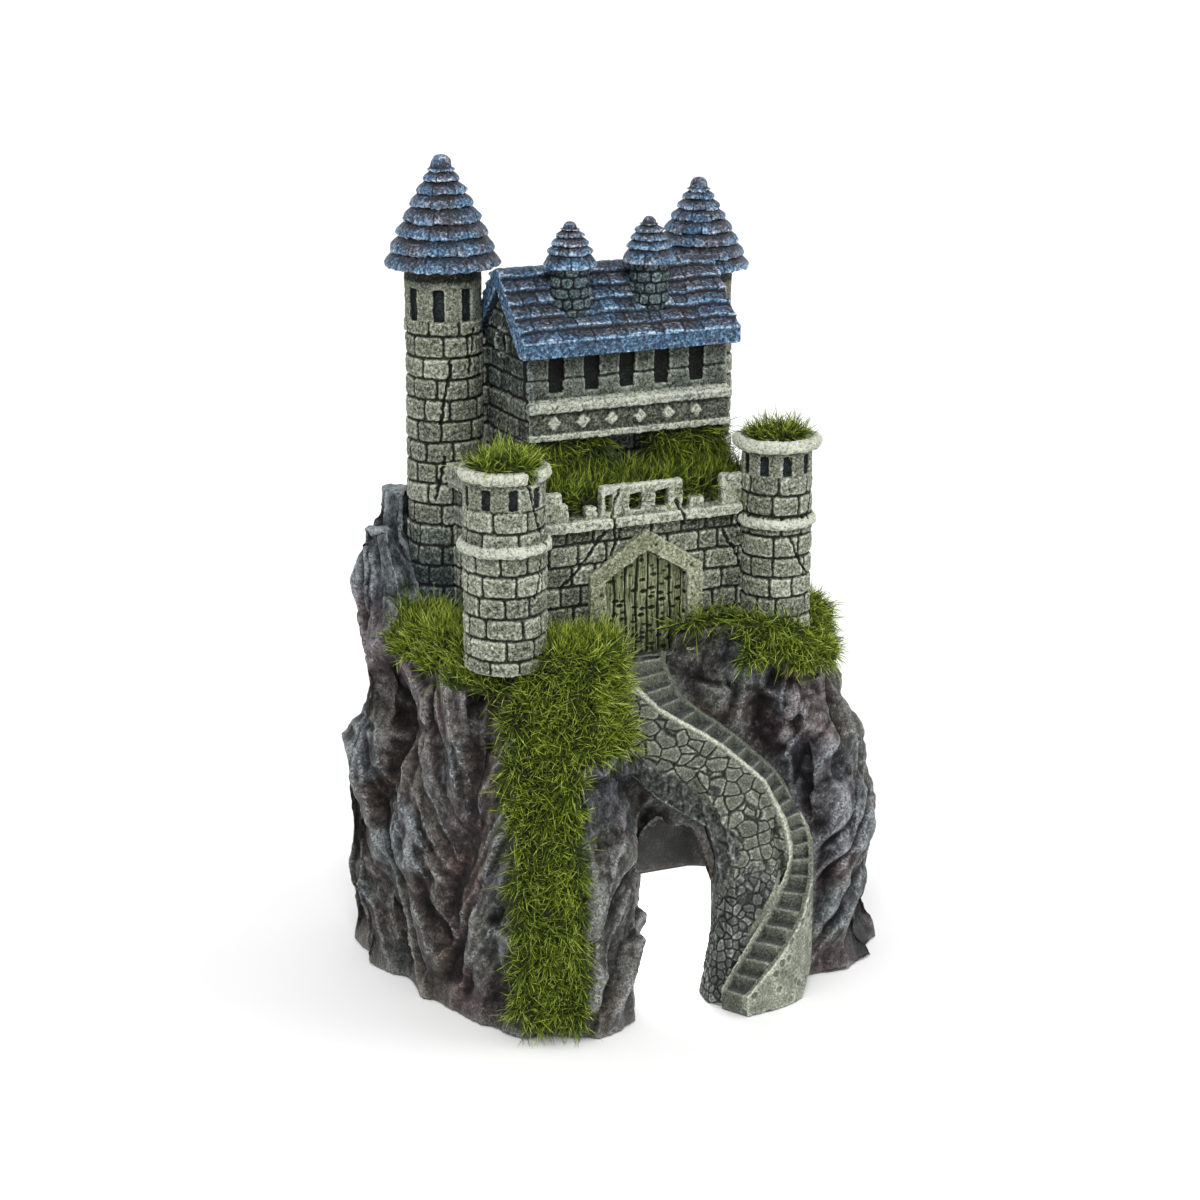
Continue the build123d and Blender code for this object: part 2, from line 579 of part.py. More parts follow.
def tile_profile(r, height, courses, z, spigot_r, spigot_length):
    """A stepped cone of tile courses with a round-nosed tip and a glue spigot beneath."""
    points = [(0, z - spigot_length), (spigot_r, z - spigot_length), (spigot_r, z)]
    lap = height * 0.05
    for k in range(courses):
        low, high = k / courses, (k + 1) / courses
        r_low = r * (1 - low) ** 0.92 + 0.5
        r_high = r * (1 - high) ** 0.92 + 0.25
        z_low = z + height * low
        points += [(r_low, z_low), (r_low - 0.15, z_low + lap)]
        if k < courses - 1:
            points += [(r_high - 0.35, z + height * high)]
    points += [(r * (1 / courses) ** 0.92 * 0.7, z + height * (1 - 0.45 / courses))]
    return points + [(0.9, z + height - 0.3), (0, z + height)]


def dormer_cap(x):
    spigot = (SPIGOT_R * 0.6, SPIGOT_LENGTH - 0.5)
    return turned(x, DORMER_Y, tile_profile(DORMER_CAP_R, DORMER_CAP_HEIGHT, 5, DORMER_TOP_Z, *spigot))


# ---------------------------------------------------------------- tall towers
def tower(t):
    """A round tower with a corbelled head and a ring of blind windows; its foot is let into the shelf."""
    x, y, r, top = t["x"], t["y"], t["r"], t["top"]
    shape = cylinder_at(x, y, r, SEAT_Z, top)
    for k in range(TOWER_WINDOWS):
        slot = box_between(
            (r - 1.2, r + 1), (-TOWER_WINDOW_WIDTH / 2, TOWER_WINDOW_WIDTH / 2),
            (top - TOWER_WINDOW_DROP - TOWER_WINDOW_HEIGHT, top - TOWER_WINDOW_DROP),
        )
        shape -= Pos(x, y, 0) * Rot(0, 0, 360 * (k + 0.35) / TOWER_WINDOWS) * slot
    shape -= cylinder_at(x, y, SPIGOT_R + GLUE_GAP, top - SPIGOT_LENGTH - 0.5, top + 1)
    return one(shape)


def tower_roof(t):
    profile = tile_profile(t["roof_r"], t["roof_height"], TILE_COURSES, t["top"], SPIGOT_R, SPIGOT_LENGTH)
    return turned(t["x"], t["y"], profile)


def tower_roof_envelope(t):
    """The room that a tower's roof takes up, as a plain cone."""
    r, top = t["roof_r"] + 0.5 + GLUE_GAP, t["top"]
    cone = [(0, top - GLUE_GAP), (r, top - GLUE_GAP), (r, top + 2), (0, top + t["roof_height"] + 3)]
    return turned(t["x"], t["y"], cone)


# ---------------------------------------------------------------- side wall
def side_wall():
    """The castle's left wall, from the gate wall back to the tall tower, with an oversailing head."""
    deep = (WALL_BACK_Y, LEFT_TOWER["y"])
    head_z = SIDE_WALL_TOP_Z - SIDE_HEAD_HEIGHT
    wall = box_between((SIDE_WALL_OUT, SIDE_WALL_IN), deep, (SEAT_Z, SIDE_WALL_TOP_Z))
    wall += box_between((SIDE_WALL_OUT - SIDE_HEAD_PROUD, SIDE_WALL_IN), deep, (head_z, SIDE_WALL_TOP_Z))
    wall -= bastion_envelope(LEFT_BASTION, GLUE_GAP)
    wall -= tower_envelope(LEFT_TOWER, GLUE_GAP)
    return one(wall)


# ---------------------------------------------------------------- moss
# pads of flock glued to the rock: where each lies, as (x, y, z) ranges
ROCK_MOSS = {
    "strip_moss": ((-44.5, -31), (-60, -30), (3, SHELF_Z - 22)),
    "slope_moss": ((-51, -15.5), (-60, -32), (SHELF_Z - 22, SHELF_Z + 5)),
    "left_ledge_moss": ((-56, -42), (-32, 12), (SHELF_Z - 8, SHELF_Z + 5)),
    "gate_moss": ((-33, -14.5), (-32, -19), (SHELF_Z - 8, SHELF_Z + 6)),
    "right_ledge_moss": ((-1.5, 48), (-42, -12), (SHELF_Z - 11, SHELF_Z + 7)),
}
HANGING_MOSS = {"left_hanging_moss": (-25.5, -7.0), "right_hanging_moss": (5.0, 24.5)}


def rock_moss(mass, region, neighbours):
    """A pad on the rock: the rock moved a little outwards, less the rock and what stands on it."""
    pad = None
    for sideways in (-0.9, 0, 0.9):
        push = Location((sideways * MOSS, -MOSS * (1 - 0.4 * abs(sideways)), MOSS * 0.6))
        layer = mass.moved(push) & region
        pad = layer if pad is None else pad + layer
    pad = pad - mass
    for other in neighbours:
        pad = pad - other
    return one(pad)


def terrace_moss():
    """The deep pad between the broken parapet and the set-back storey."""
    half = TERRACE_WIDTH / 2
    front, back = WALL_BACK_Y - 1.4, HALL_FRONT_Y + JETTY
    z = TERRACE_TOP_Z
    outline = [(front, z), (back, z), (back, z + 4.5), ((front + back) / 2, z + 4.0), (front, z + 2.8)]
    face = Plane.YZ * make_face(Polyline(*outline, close=True))
    pad = Pos(HALL_X - half, 0, 0) * extrude(face, 2 * half, dir=(1, 0, 0))
    for b in (LEFT_BASTION, RIGHT_BASTION):
        pad -= bastion_envelope(b, GLUE_GAP)
    return one(pad)


def hanging_moss(x0, x1):
    """A tuft hanging from the hall's soffit down the wall below it."""
    wall, lip = HALL_FRONT_Y + JETTY, HALL_FRONT_Y + 0.4
    top = HALL_FLOOR_Z
    outline = [(wall, top), (lip, top), (lip - 0.6, top - 3.4), (wall - 1.4, top - 8.5), (wall, top - 8.5)]
    face = Plane.YZ * make_face(Polyline(*outline, close=True))
    return Pos(x0, 0, 0) * extrude(face, x1 - x0, dir=(1, 0, 0))


# ---------------------------------------------------------------- everything together
def rock_base(mass, stairs):
    """The rock with its hollow, its mouth and a seat for everything that is glued into it."""
    rock = mass - cave() - mouth() - stair_well() - stairs
    wall_x = (WALL_X - WALL_WIDTH / 2, WALL_X + WALL_WIDTH / 2)
    rock -= box_between(wall_x, (WALL_FRONT_Y - GATE_PROUD, WALL_BACK_Y), (GATE_SILL_Z, 300))
    rock -= box_between(TERRACE_X, (WALL_BACK_Y, HALL_BACK_Y), (SEAT_Z, 300))
    rock -= box_between((SIDE_WALL_OUT, SIDE_WALL_IN), (WALL_BACK_Y, LEFT_TOWER["y"]), (SEAT_Z, 300))
    for b in (LEFT_BASTION, RIGHT_BASTION):
        rock -= cylinder_at(b["x"], b["y"], b["r"] + GLUE_GAP, SEAT_Z, 300)
    for t in (LEFT_TOWER, RIGHT_TOWER):
        rock -= cylinder_at(t["x"], t["y"], t["r"] + GLUE_GAP, SEAT_Z, 300)
    return one(rock)


def write(name, shape):
    shape.label = name
    export_step(shape, os.path.join("parts", name + ".step"))


def main():
    os.makedirs("parts", exist_ok=True)
    mass = rock_mass()
    stairs = staircase()
    wall_x = (WALL_X - WALL_WIDTH / 2, WALL_X + WALL_WIDTH / 2)
    gateway = box_between(wall_x, (WALL_FRONT_Y - GATE_PROUD, WALL_FRONT_Y), (GATE_SILL_Z, 300))

    parts = {}
    parts["curtain_wall"] = curtain_wall()
    parts["gate_surround"] = gate_surround()
    parts["gate_door"] = gate_door()
    parts["side_wall"] = side_wall()
    parts["left_bastion"] = bastion(LEFT_BASTION)
    parts["right_bastion"] = bastion(RIGHT_BASTION)
    parts["terrace_block"] = terrace_block()
    parts["hall_base"] = hall_base()
    parts["hall"] = hall()
    parts["hall_roof"] = hall_roof()
    for side, x in zip(("left", "right"), DORMER_XS):
        parts[side + "_dormer"] = dormer(x)
        parts[side + "_dormer_cap"] = dormer_cap(x)
    for side, t in (("left", LEFT_TOWER), ("right", RIGHT_TOWER)):
        parts[side + "_tower"] = tower(t)
        parts[side + "_tower_roof"] = tower_roof(t)
    parts["staircase"] = one(stairs - gateway)
    parts["rock_base"] = rock_base(mass, stairs)

    envelopes = [bastion_envelope(b, GLUE_GAP) for b in (LEFT_BASTION, RIGHT_BASTION)]
    envelopes += [tower_envelope(t, GLUE_GAP) for t in (LEFT_TOWER, RIGHT_TOWER)]
    envelopes += [parts[name] for name in ("curtain_wall", "side_wall", "terrace_block")]
    envelopes += [gateway, stairs, stair_well()]
    for name, (x, y, z) in ROCK_MOSS.items():
        parts[name] = rock_moss(mass, box_between(x, y, z), envelopes)
    parts["left_bastion_moss"] = bastion_moss(LEFT_BASTION)
    parts["right_bastion_moss"] = bastion_moss(RIGHT_BASTION)
    parts["terrace_moss"] = terrace_moss()
    for name, (x0, x1) in HANGING_MOSS.items():
        parts[name] = hanging_moss(x0, x1)

    for name, shape in parts.items():
        write(name, shape)


if __name__ == "__main__":
    main()
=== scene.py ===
import math

import bmesh
import bpy
import numpy as np
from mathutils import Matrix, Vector
from mathutils.kdtree import KDTree


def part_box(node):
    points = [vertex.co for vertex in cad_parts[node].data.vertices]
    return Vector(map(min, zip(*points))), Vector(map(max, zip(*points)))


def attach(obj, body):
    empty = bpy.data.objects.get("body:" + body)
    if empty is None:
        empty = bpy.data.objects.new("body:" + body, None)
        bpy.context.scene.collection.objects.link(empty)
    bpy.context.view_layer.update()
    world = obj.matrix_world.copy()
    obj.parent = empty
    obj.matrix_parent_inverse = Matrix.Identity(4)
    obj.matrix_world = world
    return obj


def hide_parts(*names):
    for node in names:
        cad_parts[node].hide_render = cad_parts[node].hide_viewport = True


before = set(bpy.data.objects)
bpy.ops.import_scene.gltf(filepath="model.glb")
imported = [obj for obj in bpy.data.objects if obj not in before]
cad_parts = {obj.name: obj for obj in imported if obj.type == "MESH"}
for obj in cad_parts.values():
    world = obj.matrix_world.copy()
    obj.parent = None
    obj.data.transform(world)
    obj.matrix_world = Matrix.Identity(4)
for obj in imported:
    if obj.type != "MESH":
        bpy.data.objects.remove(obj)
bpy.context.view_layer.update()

# Millimetres in the arrays, metres in the meshes. +Z up, -Y the way the gate looks.
MM = 0.001


def box_mm(node):
    lo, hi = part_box(node)
    return np.array(lo) / MM, np.array(hi) / MM


# ------------------------------------------------------------------ noise
def hashed(x, y=0, z=0, seed=0):
    """A repeatable random number, 0 to 1, for each whole-numbered point."""
    h = np.asarray(x, np.int64) * 374761393 + np.asarray(y, np.int64) * 668265263
    h = h + np.asarray(z, np.int64) * 1103515245 + seed * 362437
    h = h & 0xFFFFFFFF
    h = ((h ^ (h >> 15)) * 1274126177) & 0xFFFFFFFF
    h = ((h ^ (h >> 13)) * 1103515245) & 0xFFFFFFFF
    return ((h ^ (h >> 16)) & 0xFFFFFF) / 16777216.0


def noise(p, seed=0):
    """Gradient noise at points p, about -1 to 1."""
    cell = np.floor(p).astype(np.int64)
    f = p - cell
    s = f * f * f * (f * (f * 6 - 15) + 10)
    total = np.zeros(len(p))
    for corner in range(8):
        d = np.array([corner & 1, corner >> 1 & 1, corner >> 2 & 1])
        at = cell + d
        w = np.prod(np.where(d, s, 1 - s), axis=1)
        h = hashed(at[:, 0], at[:, 1], at[:, 2], seed)
        turn, rise = h * 2 * np.pi * 7, hashed(at[:, 2], at[:, 0], at[:, 1], seed + 5) * 2 - 1
        flat = np.sqrt(1 - rise * rise)
        g = f - d
        total += w * (g[:, 0] * np.cos(turn) * flat + g[:, 1] * np.sin(turn) * flat + g[:, 2] * rise)
    return total * 1.6


def fbm(p, octaves=4, seed=0, gain=0.5):
    total, size = np.zeros(len(p)), 1.0
    for k in range(octaves):
        total += size * noise(p * 2.03**k + 17.3 * k, seed + k)
        size *= gain
    return total


def ridges(p, octaves=3, seed=0, gain=0.5):
    """Sharp crests, 0 to about 1."""
    total, size, whole = np.zeros(len(p)), 1.0, 0.0
    for k in range(octaves):
        total += size * (1 - np.abs(noise(p * 2.1**k + 9.1 * k, seed + k))) ** 2
        whole += size
        size *= gain
    return total / whole


def cells(p, seed=0, jitter=0.8):
    """Distance to the nearest feature point and to the edge of its cell, and the cell's random number."""
    home = np.floor(p).astype(np.int64)
    first, second = np.full(len(p), 9.0), np.full(len(p), 9.0)
    mark = np.zeros(len(p))
    for dx in (-1, 0, 1):
        for dy in (-1, 0, 1):
            for dz in (-1, 0, 1):
                c = home + (dx, dy, dz)
                h = [hashed(c[:, 0], c[:, 1], c[:, 2], seed + k) for k in range(3)]
                q = c + 0.5 + (np.stack(h, 1) - 0.5) * jitter
                d = np.linalg.norm(p - q, axis=1)
                nearer = d < first
                second = np.where(nearer, first, np.minimum(second, d))
                mark = np.where(nearer, h[0], mark)
                first = np.where(nearer, d, first)
    return first, second - first, mark


def smooth(low, high, x):
    t = np.clip((x - low) / (high - low), 0, 1)
    return t * t * (3 - 2 * t)


def bump_at(x, middle, width):
    return np.exp(-(((x - middle) / width) ** 2))


# ------------------------------------------------------------------ meshes
def read(items, name, width=3):
    out = np.zeros(len(items) * width, np.float32)
    items.foreach_get(name, out)
    return out.reshape(-1, width).astype(float) if width > 1 else out.astype(float)


class Casting:
    """A mesh held as arrays in mm, to be pushed along its normals and painted point by point."""

    def __init__(self, mesh):
        self.mesh = mesh
        self.co = read(mesh.vertices, "co") / MM
        self.edges = np.zeros(len(mesh.edges) * 2, np.int32)
        mesh.edges.foreach_get("vertices", self.edges)
        self.edges = self.edges.reshape(-1, 2)
        n = len(self.co)
        self.degree = np.maximum(np.bincount(self.edges.ravel(), minlength=n), 1)
        self.paint = {}
        self.settle()

    def settle(self):
        """Takes the new places of the points into the mesh and reads its normals again."""
        self.mesh.vertices.foreach_set("co", (self.co * MM).astype(np.float32).ravel())
        self.mesh.update()
        self.no = read(self.mesh.vertex_normals, "vector")

    def spread(self, field, times=1, keep=0.4):
        """A field, averaged with its neighbours' values a few times."""
        a, b = self.edges[:, 0], self.edges[:, 1]
        n = len(self.co)
        out = field
        for _ in range(times):
            if out.ndim == 1:
                mean = (np.bincount(a, out[b], n) + np.bincount(b, out[a], n)) / self.degree
            else:
                mean = np.stack(
                    [
                        (np.bincount(a, out[b, k], n) + np.bincount(b, out[a, k], n)) / self.degree
                        for k in range(out.shape[1])
                    ],
                    1,
                )
            out = out * keep + mean * (1 - keep)
        return out

    def relax(self, times=2):
        self.co = self.spread(self.co, times)
        self.settle()

    def push(self, amount):
        self.co = self.co + self.no * np.asarray(amount)[:, None]
        self.settle()

    def hollow(self, times):
        """How deep each point lies below those around it, in mm: above 0 in a hollow, below 0 on an edge."""
        return ((self.spread(self.co, times, 0.0) - self.co) * self.no).sum(1)

    def piece(self, name, material, nodes, slot):
        for key, value in self.paint.items():
            layer = self.mesh.attributes.new(key, "FLOAT", "POINT")
            layer.data.foreach_set("value", np.clip(value, 0, 1).astype(np.float32))
        return place(name, self.mesh, material, nodes)


def place(name, mesh, material, nodes):
    name = name + "_cast"
    mesh.name = name
    mesh.polygons.foreach_set("use_smooth", np.ones(len(mesh.polygons), bool))
    mesh.materials.clear()
    mesh.materials.append(material)
    piece = bpy.data.objects.new(name, mesh)
    bpy.context.scene.collection.objects.link(piece)
    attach(piece, "root")
    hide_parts(*nodes)
    return piece


def skin(nodes, voxel, extra=(), relax=2, calm=None, ratio=1.0):
    """One closed skin round the CAD nodes and any added shapes, in even faces of about a voxel's size."""
    bm = bmesh.new()
    for n in nodes:
        bm.from_mesh(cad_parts[n].data)
    for verts, faces in extra:
        made = [bm.verts.new(Vector(v) * MM) for v in verts]
        for f in faces:
            bm.faces.new([made[i] for i in f])
    bmesh.ops.recalc_face_normals(bm, faces=bm.faces)
    mesh = bpy.data.meshes.new("raw")
    bm.to_mesh(mesh)
    bm.free()
    holder = bpy.data.objects.new("raw", mesh)
    bpy.context.scene.collection.objects.link(holder)
    even = holder.modifiers.new("even", "REMESH")
    even.mode = "VOXEL"
    even.voxel_size = voxel * MM * 1
    ready = bpy.data.meshes.new_from_object(holder.evaluated_get(bpy.context.evaluated_depsgraph_get()))
    bpy.data.objects.remove(holder)
    bpy.data.meshes.remove(mesh)
    if calm:
        ready = thinned(ready, calm, ratio)
    casting = Casting(ready)
    casting.relax(relax)
    return casting


def thinned(mesh, calm, ratio):
    """The mesh with fewer faces where calm is 1."""
    read_in = Casting(mesh)
    weight = calm(read_in.co, read_in.no)
    holder = bpy.data.objects.new("raw", mesh)
    bpy.context.scene.collection.objects.link(holder)
    group = holder.vertex_groups.new(name="calm")
    group.add(np.flatnonzero(weight > 0.5).tolist(), 1.0, "REPLACE")
    fewer = holder.modifiers.new("fewer", "DECIMATE")
    fewer.ratio = ratio
    fewer.vertex_group = "calm"
    fewer.vertex_group_factor = 1000.0
    ready = bpy.data.meshes.new_from_object(holder.evaluated_get(bpy.context.evaluated_depsgraph_get()))
    bpy.data.objects.remove(holder)
    bpy.data.meshes.remove(mesh)
    return ready


def mesh_from(verts, faces):
    mesh = bpy.data.meshes.new("made")
    mesh.from_pydata((np.asarray(verts) * MM).tolist(), [], faces)
    mesh.update()
    return mesh


# ------------------------------------------------------------------ materials
def rgb(r, g, b):
    """A screen colour, 0 to 255, as linear light."""
    out = []
    for c in (r, g, b):
        c /= 255
        out.append(c / 12.92 if c <= 0.04045 else ((c + 0.055) / 1.055) ** 2.4)
    return (*out, 1.0)


class Paint:
    """A material's node tree, built a node at a time."""

    def __init__(self, name, roughness=0.7, specular=0.3):
        self.material = bpy.data.materials.new(name)
        self.material.use_nodes = True
        self.tree = self.material.node_tree
        self.shader = self.tree.nodes["Principled BSDF"]
        self.shader.inputs["Roughness"].default_value = roughness
        self.shader.inputs["Specular IOR Level"].default_value = specular
        self.coords = self.tree.nodes.new("ShaderNodeTexCoord").outputs["Object"]

    def attribute(self, name):
        n = self.tree.nodes.new("ShaderNodeAttribute")
        n.attribute_name = name
        return n.outputs["Fac"]

    def put(self, socket, value):
        if isinstance(value, bpy.types.NodeSocket):
            self.tree.links.new(value, socket)
        else:
            socket.default_value = value

    def math(self, kind, a, b=0.0, c=0.0):
        n = self.tree.nodes.new("ShaderNodeMath")
        n.operation = kind
        for socket, value in zip(n.inputs, (a, b, c)):
            self.put(socket, value)
        return n.outputs[0]

    def noise(self, size_mm, detail=3.0, rough=0.55, low=0.3, high=0.7, stretch=None, distortion=0.0):
        """Noise with features of about size_mm, from -1 to 1."""
        n = self.tree.nodes.new("ShaderNodeTexNoise")
        n.inputs["Scale"].default_value = 1 / (size_mm * MM)
        n.inputs["Detail"].default_value = detail
        n.inputs["Roughness"].default_value = rough
        n.inputs["Distortion"].default_value = distortion
        coords = self.coords
        if stretch:
            m = self.tree.nodes.new("ShaderNodeMapping")
            m.vector_type = "TEXTURE"
            m.inputs["Rotation"].default_value = stretch[0]
            m.inputs["Scale"].default_value = stretch[1]
            self.put(m.inputs["Vector"], coords)
            coords = m.outputs[0]
        self.put(n.inputs["Vector"], coords)
        r = self.tree.nodes.new("ShaderNodeMapRange")
        r.inputs["From Min"].default_value, r.inputs["From Max"].default_value = low, high
        r.inputs["To Min"].default_value, r.inputs["To Max"].default_value = -1.0, 1.0
        self.put(r.inputs["Value"], n.outputs["Fac"])
        return r.outputs[0]

    def lines(self, size_mm, width=0.3, **more):
        """Thin wandering lines: 1 on a line, 0 between."""
        n = self.math("ABSOLUTE", self.noise(size_mm, **more))
        r = self.tree.nodes.new("ShaderNodeMapRange")
        r.inputs["From Min"].default_value, r.inputs["From Max"].default_value = width, 0.0
        self.put(r.inputs["Value"], n)
        return r.outputs[0]

    def ramp(self, value, stops):
        n = self.tree.nodes.new("ShaderNodeValToRGB")
        marks = n.color_ramp.elements
        while len(marks) < len(stops):
            marks.new(0.5)
        for mark, (place_at, colour) in zip(marks, stops):
            mark.position = place_at
            mark.color = rgb(*colour)
        self.put(n.inputs[0], value)
        return n.outputs["Color"]

    def mix(self, share, a, b, kind="MIX"):
        n = self.tree.nodes.new("ShaderNodeMix")
        n.data_type = "RGBA"
        n.blend_type = kind
        self.put(n.inputs["Factor"], share)
        self.put(n.inputs[6], a if isinstance(a, bpy.types.NodeSocket) else rgb(*a))
        self.put(n.inputs[7], b if isinstance(b, bpy.types.NodeSocket) else rgb(*b))
        return n.outputs[2]

    def mix_value(self, share, a, b):
        n = self.tree.nodes.new("ShaderNodeMix")
        for socket, value in ((n.inputs[0], share), (n.inputs[2], a), (n.inputs[3], b)):
            self.put(socket, value)
        return n.outputs[0]

    def finish(self, colour, height=None, depth_mm=0.1, roughness=None):
        self.put(self.shader.inputs["Base Color"], colour)
        if height is not None:
            n = self.tree.nodes.new("ShaderNodeBump")
            n.inputs["Distance"].default_value = depth_mm * MM
            n.inputs["Strength"].default_value = 1.0
            self.put(n.inputs["Height"], height)
            self.put(self.shader.inputs["Normal"], n.outputs[0])
        if roughness is not None:
            self.put(self.shader.inputs["Roughness"], roughness)
        return self.material


def stone_paint(name, stops, cold_stops, speckle=0.15, grain=0.5, wrinkle=0.27):
    """Dry-brushed cast stone: 'light' picks the tone, 'cold' the blue-black wash, noise the speckle."""
    p = Paint(name, roughness=0.72, specular=0.25)
    fine = p.noise(grain, detail=2.0, rough=0.6, low=0.34, high=0.66)
    worm = p.lines(grain * 2.6, width=0.34, detail=1.5, rough=0.5, distortion=1.4)
    broad = p.noise(9.0, detail=3.0)
    value = p.math("MULTIPLY_ADD", fine, speckle, p.math("ADD", p.attribute("light"), 0.06))
    value = p.math("MULTIPLY_ADD", worm, -wrinkle, value)
    value = p.math("MULTIPLY_ADD", broad, 0.05, value)
    warm = p.ramp(value, stops)
    cold = p.ramp(value, cold_stops)
    colour = p.mix(p.attribute("cold"), warm, cold)
    height = p.math("MULTIPLY_ADD", worm, -0.9, fine)
    rough = p.math("MULTIPLY_ADD", fine, 0.08, 0.7)
    return p.finish(colour, height, 0.1, rough)


castle_stops = [(0.0, (14, 15, 10)), (0.25, (52, 55, 43)), (0.5, (112, 116, 99)), (0.72, (156, 159, 141)),
                (1.0, (216, 218, 200))]
cold_stops = [(0.0, (8, 11, 13)), (0.3, (30, 40, 44)), (0.6, (74, 90, 94)), (1.0, (150, 164, 164))]
CASTLE = stone_paint("castle_stone", castle_stops, cold_stops)
PALE = stone_paint("pale_stone", [(0.0, (22, 25, 14)), (0.3, (78, 84, 56)), (0.65, (148, 152, 124)),
                                  (1.0, (214, 216, 194))], cold_stops)
STAIR = stone_paint(
    "stair_stone",
    [(0.0, (18, 20, 16)), (0.3, (60, 64, 57)), (0.6, (112, 117, 104)), (0.8, (158, 161, 146)),
     (1.0, (214, 215, 200))],
    [(0.0, (12, 12, 13)), (0.3, (38, 40, 43)), (0.6, (76, 80, 86)), (0.85, (136, 142, 148)),
     (1.0, (198, 204, 208))],
    speckle=0.12,
    grain=0.5,
    wrinkle=0.08,
)


def tile_paint():
    """Slate-blue tiles: purple-brown in the body, teal on the lower edges, rubbed pale on the crests."""
    p = Paint("roof_tile", roughness=0.42, specular=0.5)
    fine = p.noise(0.7, detail=3.0, rough=0.65, low=0.34, high=0.66)
    streak = p.lines(1.6, width=0.35, detail=2.0, distortion=0.8)
    patch = p.noise(7.0, detail=2.0, low=0.36, high=0.64)
    value = p.math("MULTIPLY_ADD", fine, 0.26, p.attribute("light"))
    value = p.math("MULTIPLY_ADD", streak, 0.17, value)
    body = p.ramp(value, [(0.0, (7, 8, 10)), (0.3, (25, 26, 31)), (0.55, (66, 68, 80)),
                          (0.8, (134, 140, 158)), (1.0, (224, 230, 240))])
    blue = p.ramp(value, [(0.0, (7, 12, 16)), (0.3, (20, 42, 60)), (0.55, (56, 92, 126)),
                          (0.8, (122, 164, 198)), (1.0, (214, 230, 240))])
    share = p.math("MULTIPLY_ADD", patch, 0.3, p.attribute("lip"))
    share = p.math("MULTIPLY_ADD", fine, 0.12, share)
    n = p.tree.nodes.new("ShaderNodeClamp")
    p.put(n.inputs[0], share)
    colour = p.mix(n.outputs[0], body, blue)
    height = p.math("MULTIPLY_ADD", streak, 0.7, fine)
    return p.finish(colour, height, 0.16, p.math("MULTIPLY_ADD", fine, 0.14, 0.38))


def wood_paint():
    p = Paint("door_wood", roughness=0.75, specular=0.2)
    fine = p.noise(0.5, detail=3.0, stretch=((0, 0, 0), (0.6, 1.0, 4.5)))
    speck = p.noise(0.5, detail=2.0)
    value = p.math("MULTIPLY_ADD", fine, 0.2, p.attribute("light"))
    value = p.math("MULTIPLY_ADD", speck, 0.1, value)
    colour = p.ramp(value, [(0.0, (12, 14, 8)), (0.25, (48, 54, 30)), (0.55, (112, 118, 86)),
                            (0.8, (160, 164, 134)), (1.0, (206, 208, 184))])
    return p.finish(colour, fine, 0.12)


def rock_paint():
    """Dark rock: 'light' is the tone, 'crest' the dry-brushed ridges, the others are washes of colour."""
    p = Paint("rock", roughness=0.5, specular=0.4)
    fine = p.noise(0.55, detail=4.0, rough=0.7, low=0.34, high=0.66)
    mid = p.noise(3.0, detail=3.0, rough=0.6, low=0.34, high=0.66, distortion=0.6)
    pits = p.lines(1.5, width=0.16, detail=3.0, rough=0.6, distortion=1.2)

    def strokes(degrees):
        turned = (0, math.radians(degrees), math.radians(-25))
        return p.lines(0.9, width=0.16, detail=4.0, rough=0.7, stretch=(turned, (1, 1, 8)), distortion=0.7)

    turn = p.attribute("turn")
    streak = p.mix_value(turn, strokes(28), strokes(-21))
    crest = p.attribute("crest")
    grit = p.noise(0.7, detail=3.0, rough=0.75, low=0.44, high=0.6)
    rub = p.math("MULTIPLY", crest, p.math("MULTIPLY_ADD", grit, 0.75, 0.25))
    value = p.math("MULTIPLY_ADD", fine, 0.18, p.attribute("light"))
    value = p.math("MULTIPLY_ADD", mid, 0.06, value)
    value = p.math("MULTIPLY_ADD", pits, -0.06, value)
    value = p.math("MULTIPLY_ADD", streak, p.math("MULTIPLY_ADD", mid, 0.14, 0.24), value)
    value = p.math("MULTIPLY_ADD", rub, 0.42, value)
    grey = p.ramp(value, [(0.0, (10, 10, 9)), (0.28, (44, 43, 39)), (0.5, (84, 82, 76)),
                          (0.75, (140, 139, 132)), (1.0, (206, 208, 204))])
    plum = p.ramp(value, [(0.0, (14, 8, 11)), (0.28, (50, 34, 41)), (0.5, (94, 68, 78)),
                          (0.8, (156, 132, 144)), (1.0, (212, 200, 210))])
    rust = p.ramp(value, [(0.0, (12, 9, 7)), (0.28, (48, 34, 28)), (0.5, (88, 66, 56)),
                          (0.8, (146, 124, 110)), (1.0, (200, 190, 178))])
    frost = p.ramp(value, [(0.0, (10, 13, 15)), (0.28, (40, 47, 52)), (0.5, (78, 90, 98)),
                           (0.8, (144, 160, 170)), (1.0, (216, 228, 234))])
    colour = p.mix(p.attribute("plum"), grey, plum)
    colour = p.mix(p.attribute("rust"), colour, rust)
    colour = p.mix(p.attribute("frost"), colour, frost)
    height = p.math("MULTIPLY_ADD", mid, 0.4, fine)
    height = p.math("MULTIPLY_ADD", pits, -0.4, height)
    height = p.math("MULTIPLY_ADD", streak, 1.5, height)
    return p.finish(colour, height, 0.3, p.math("MULTIPLY_ADD", fine, 0.14, 0.46))


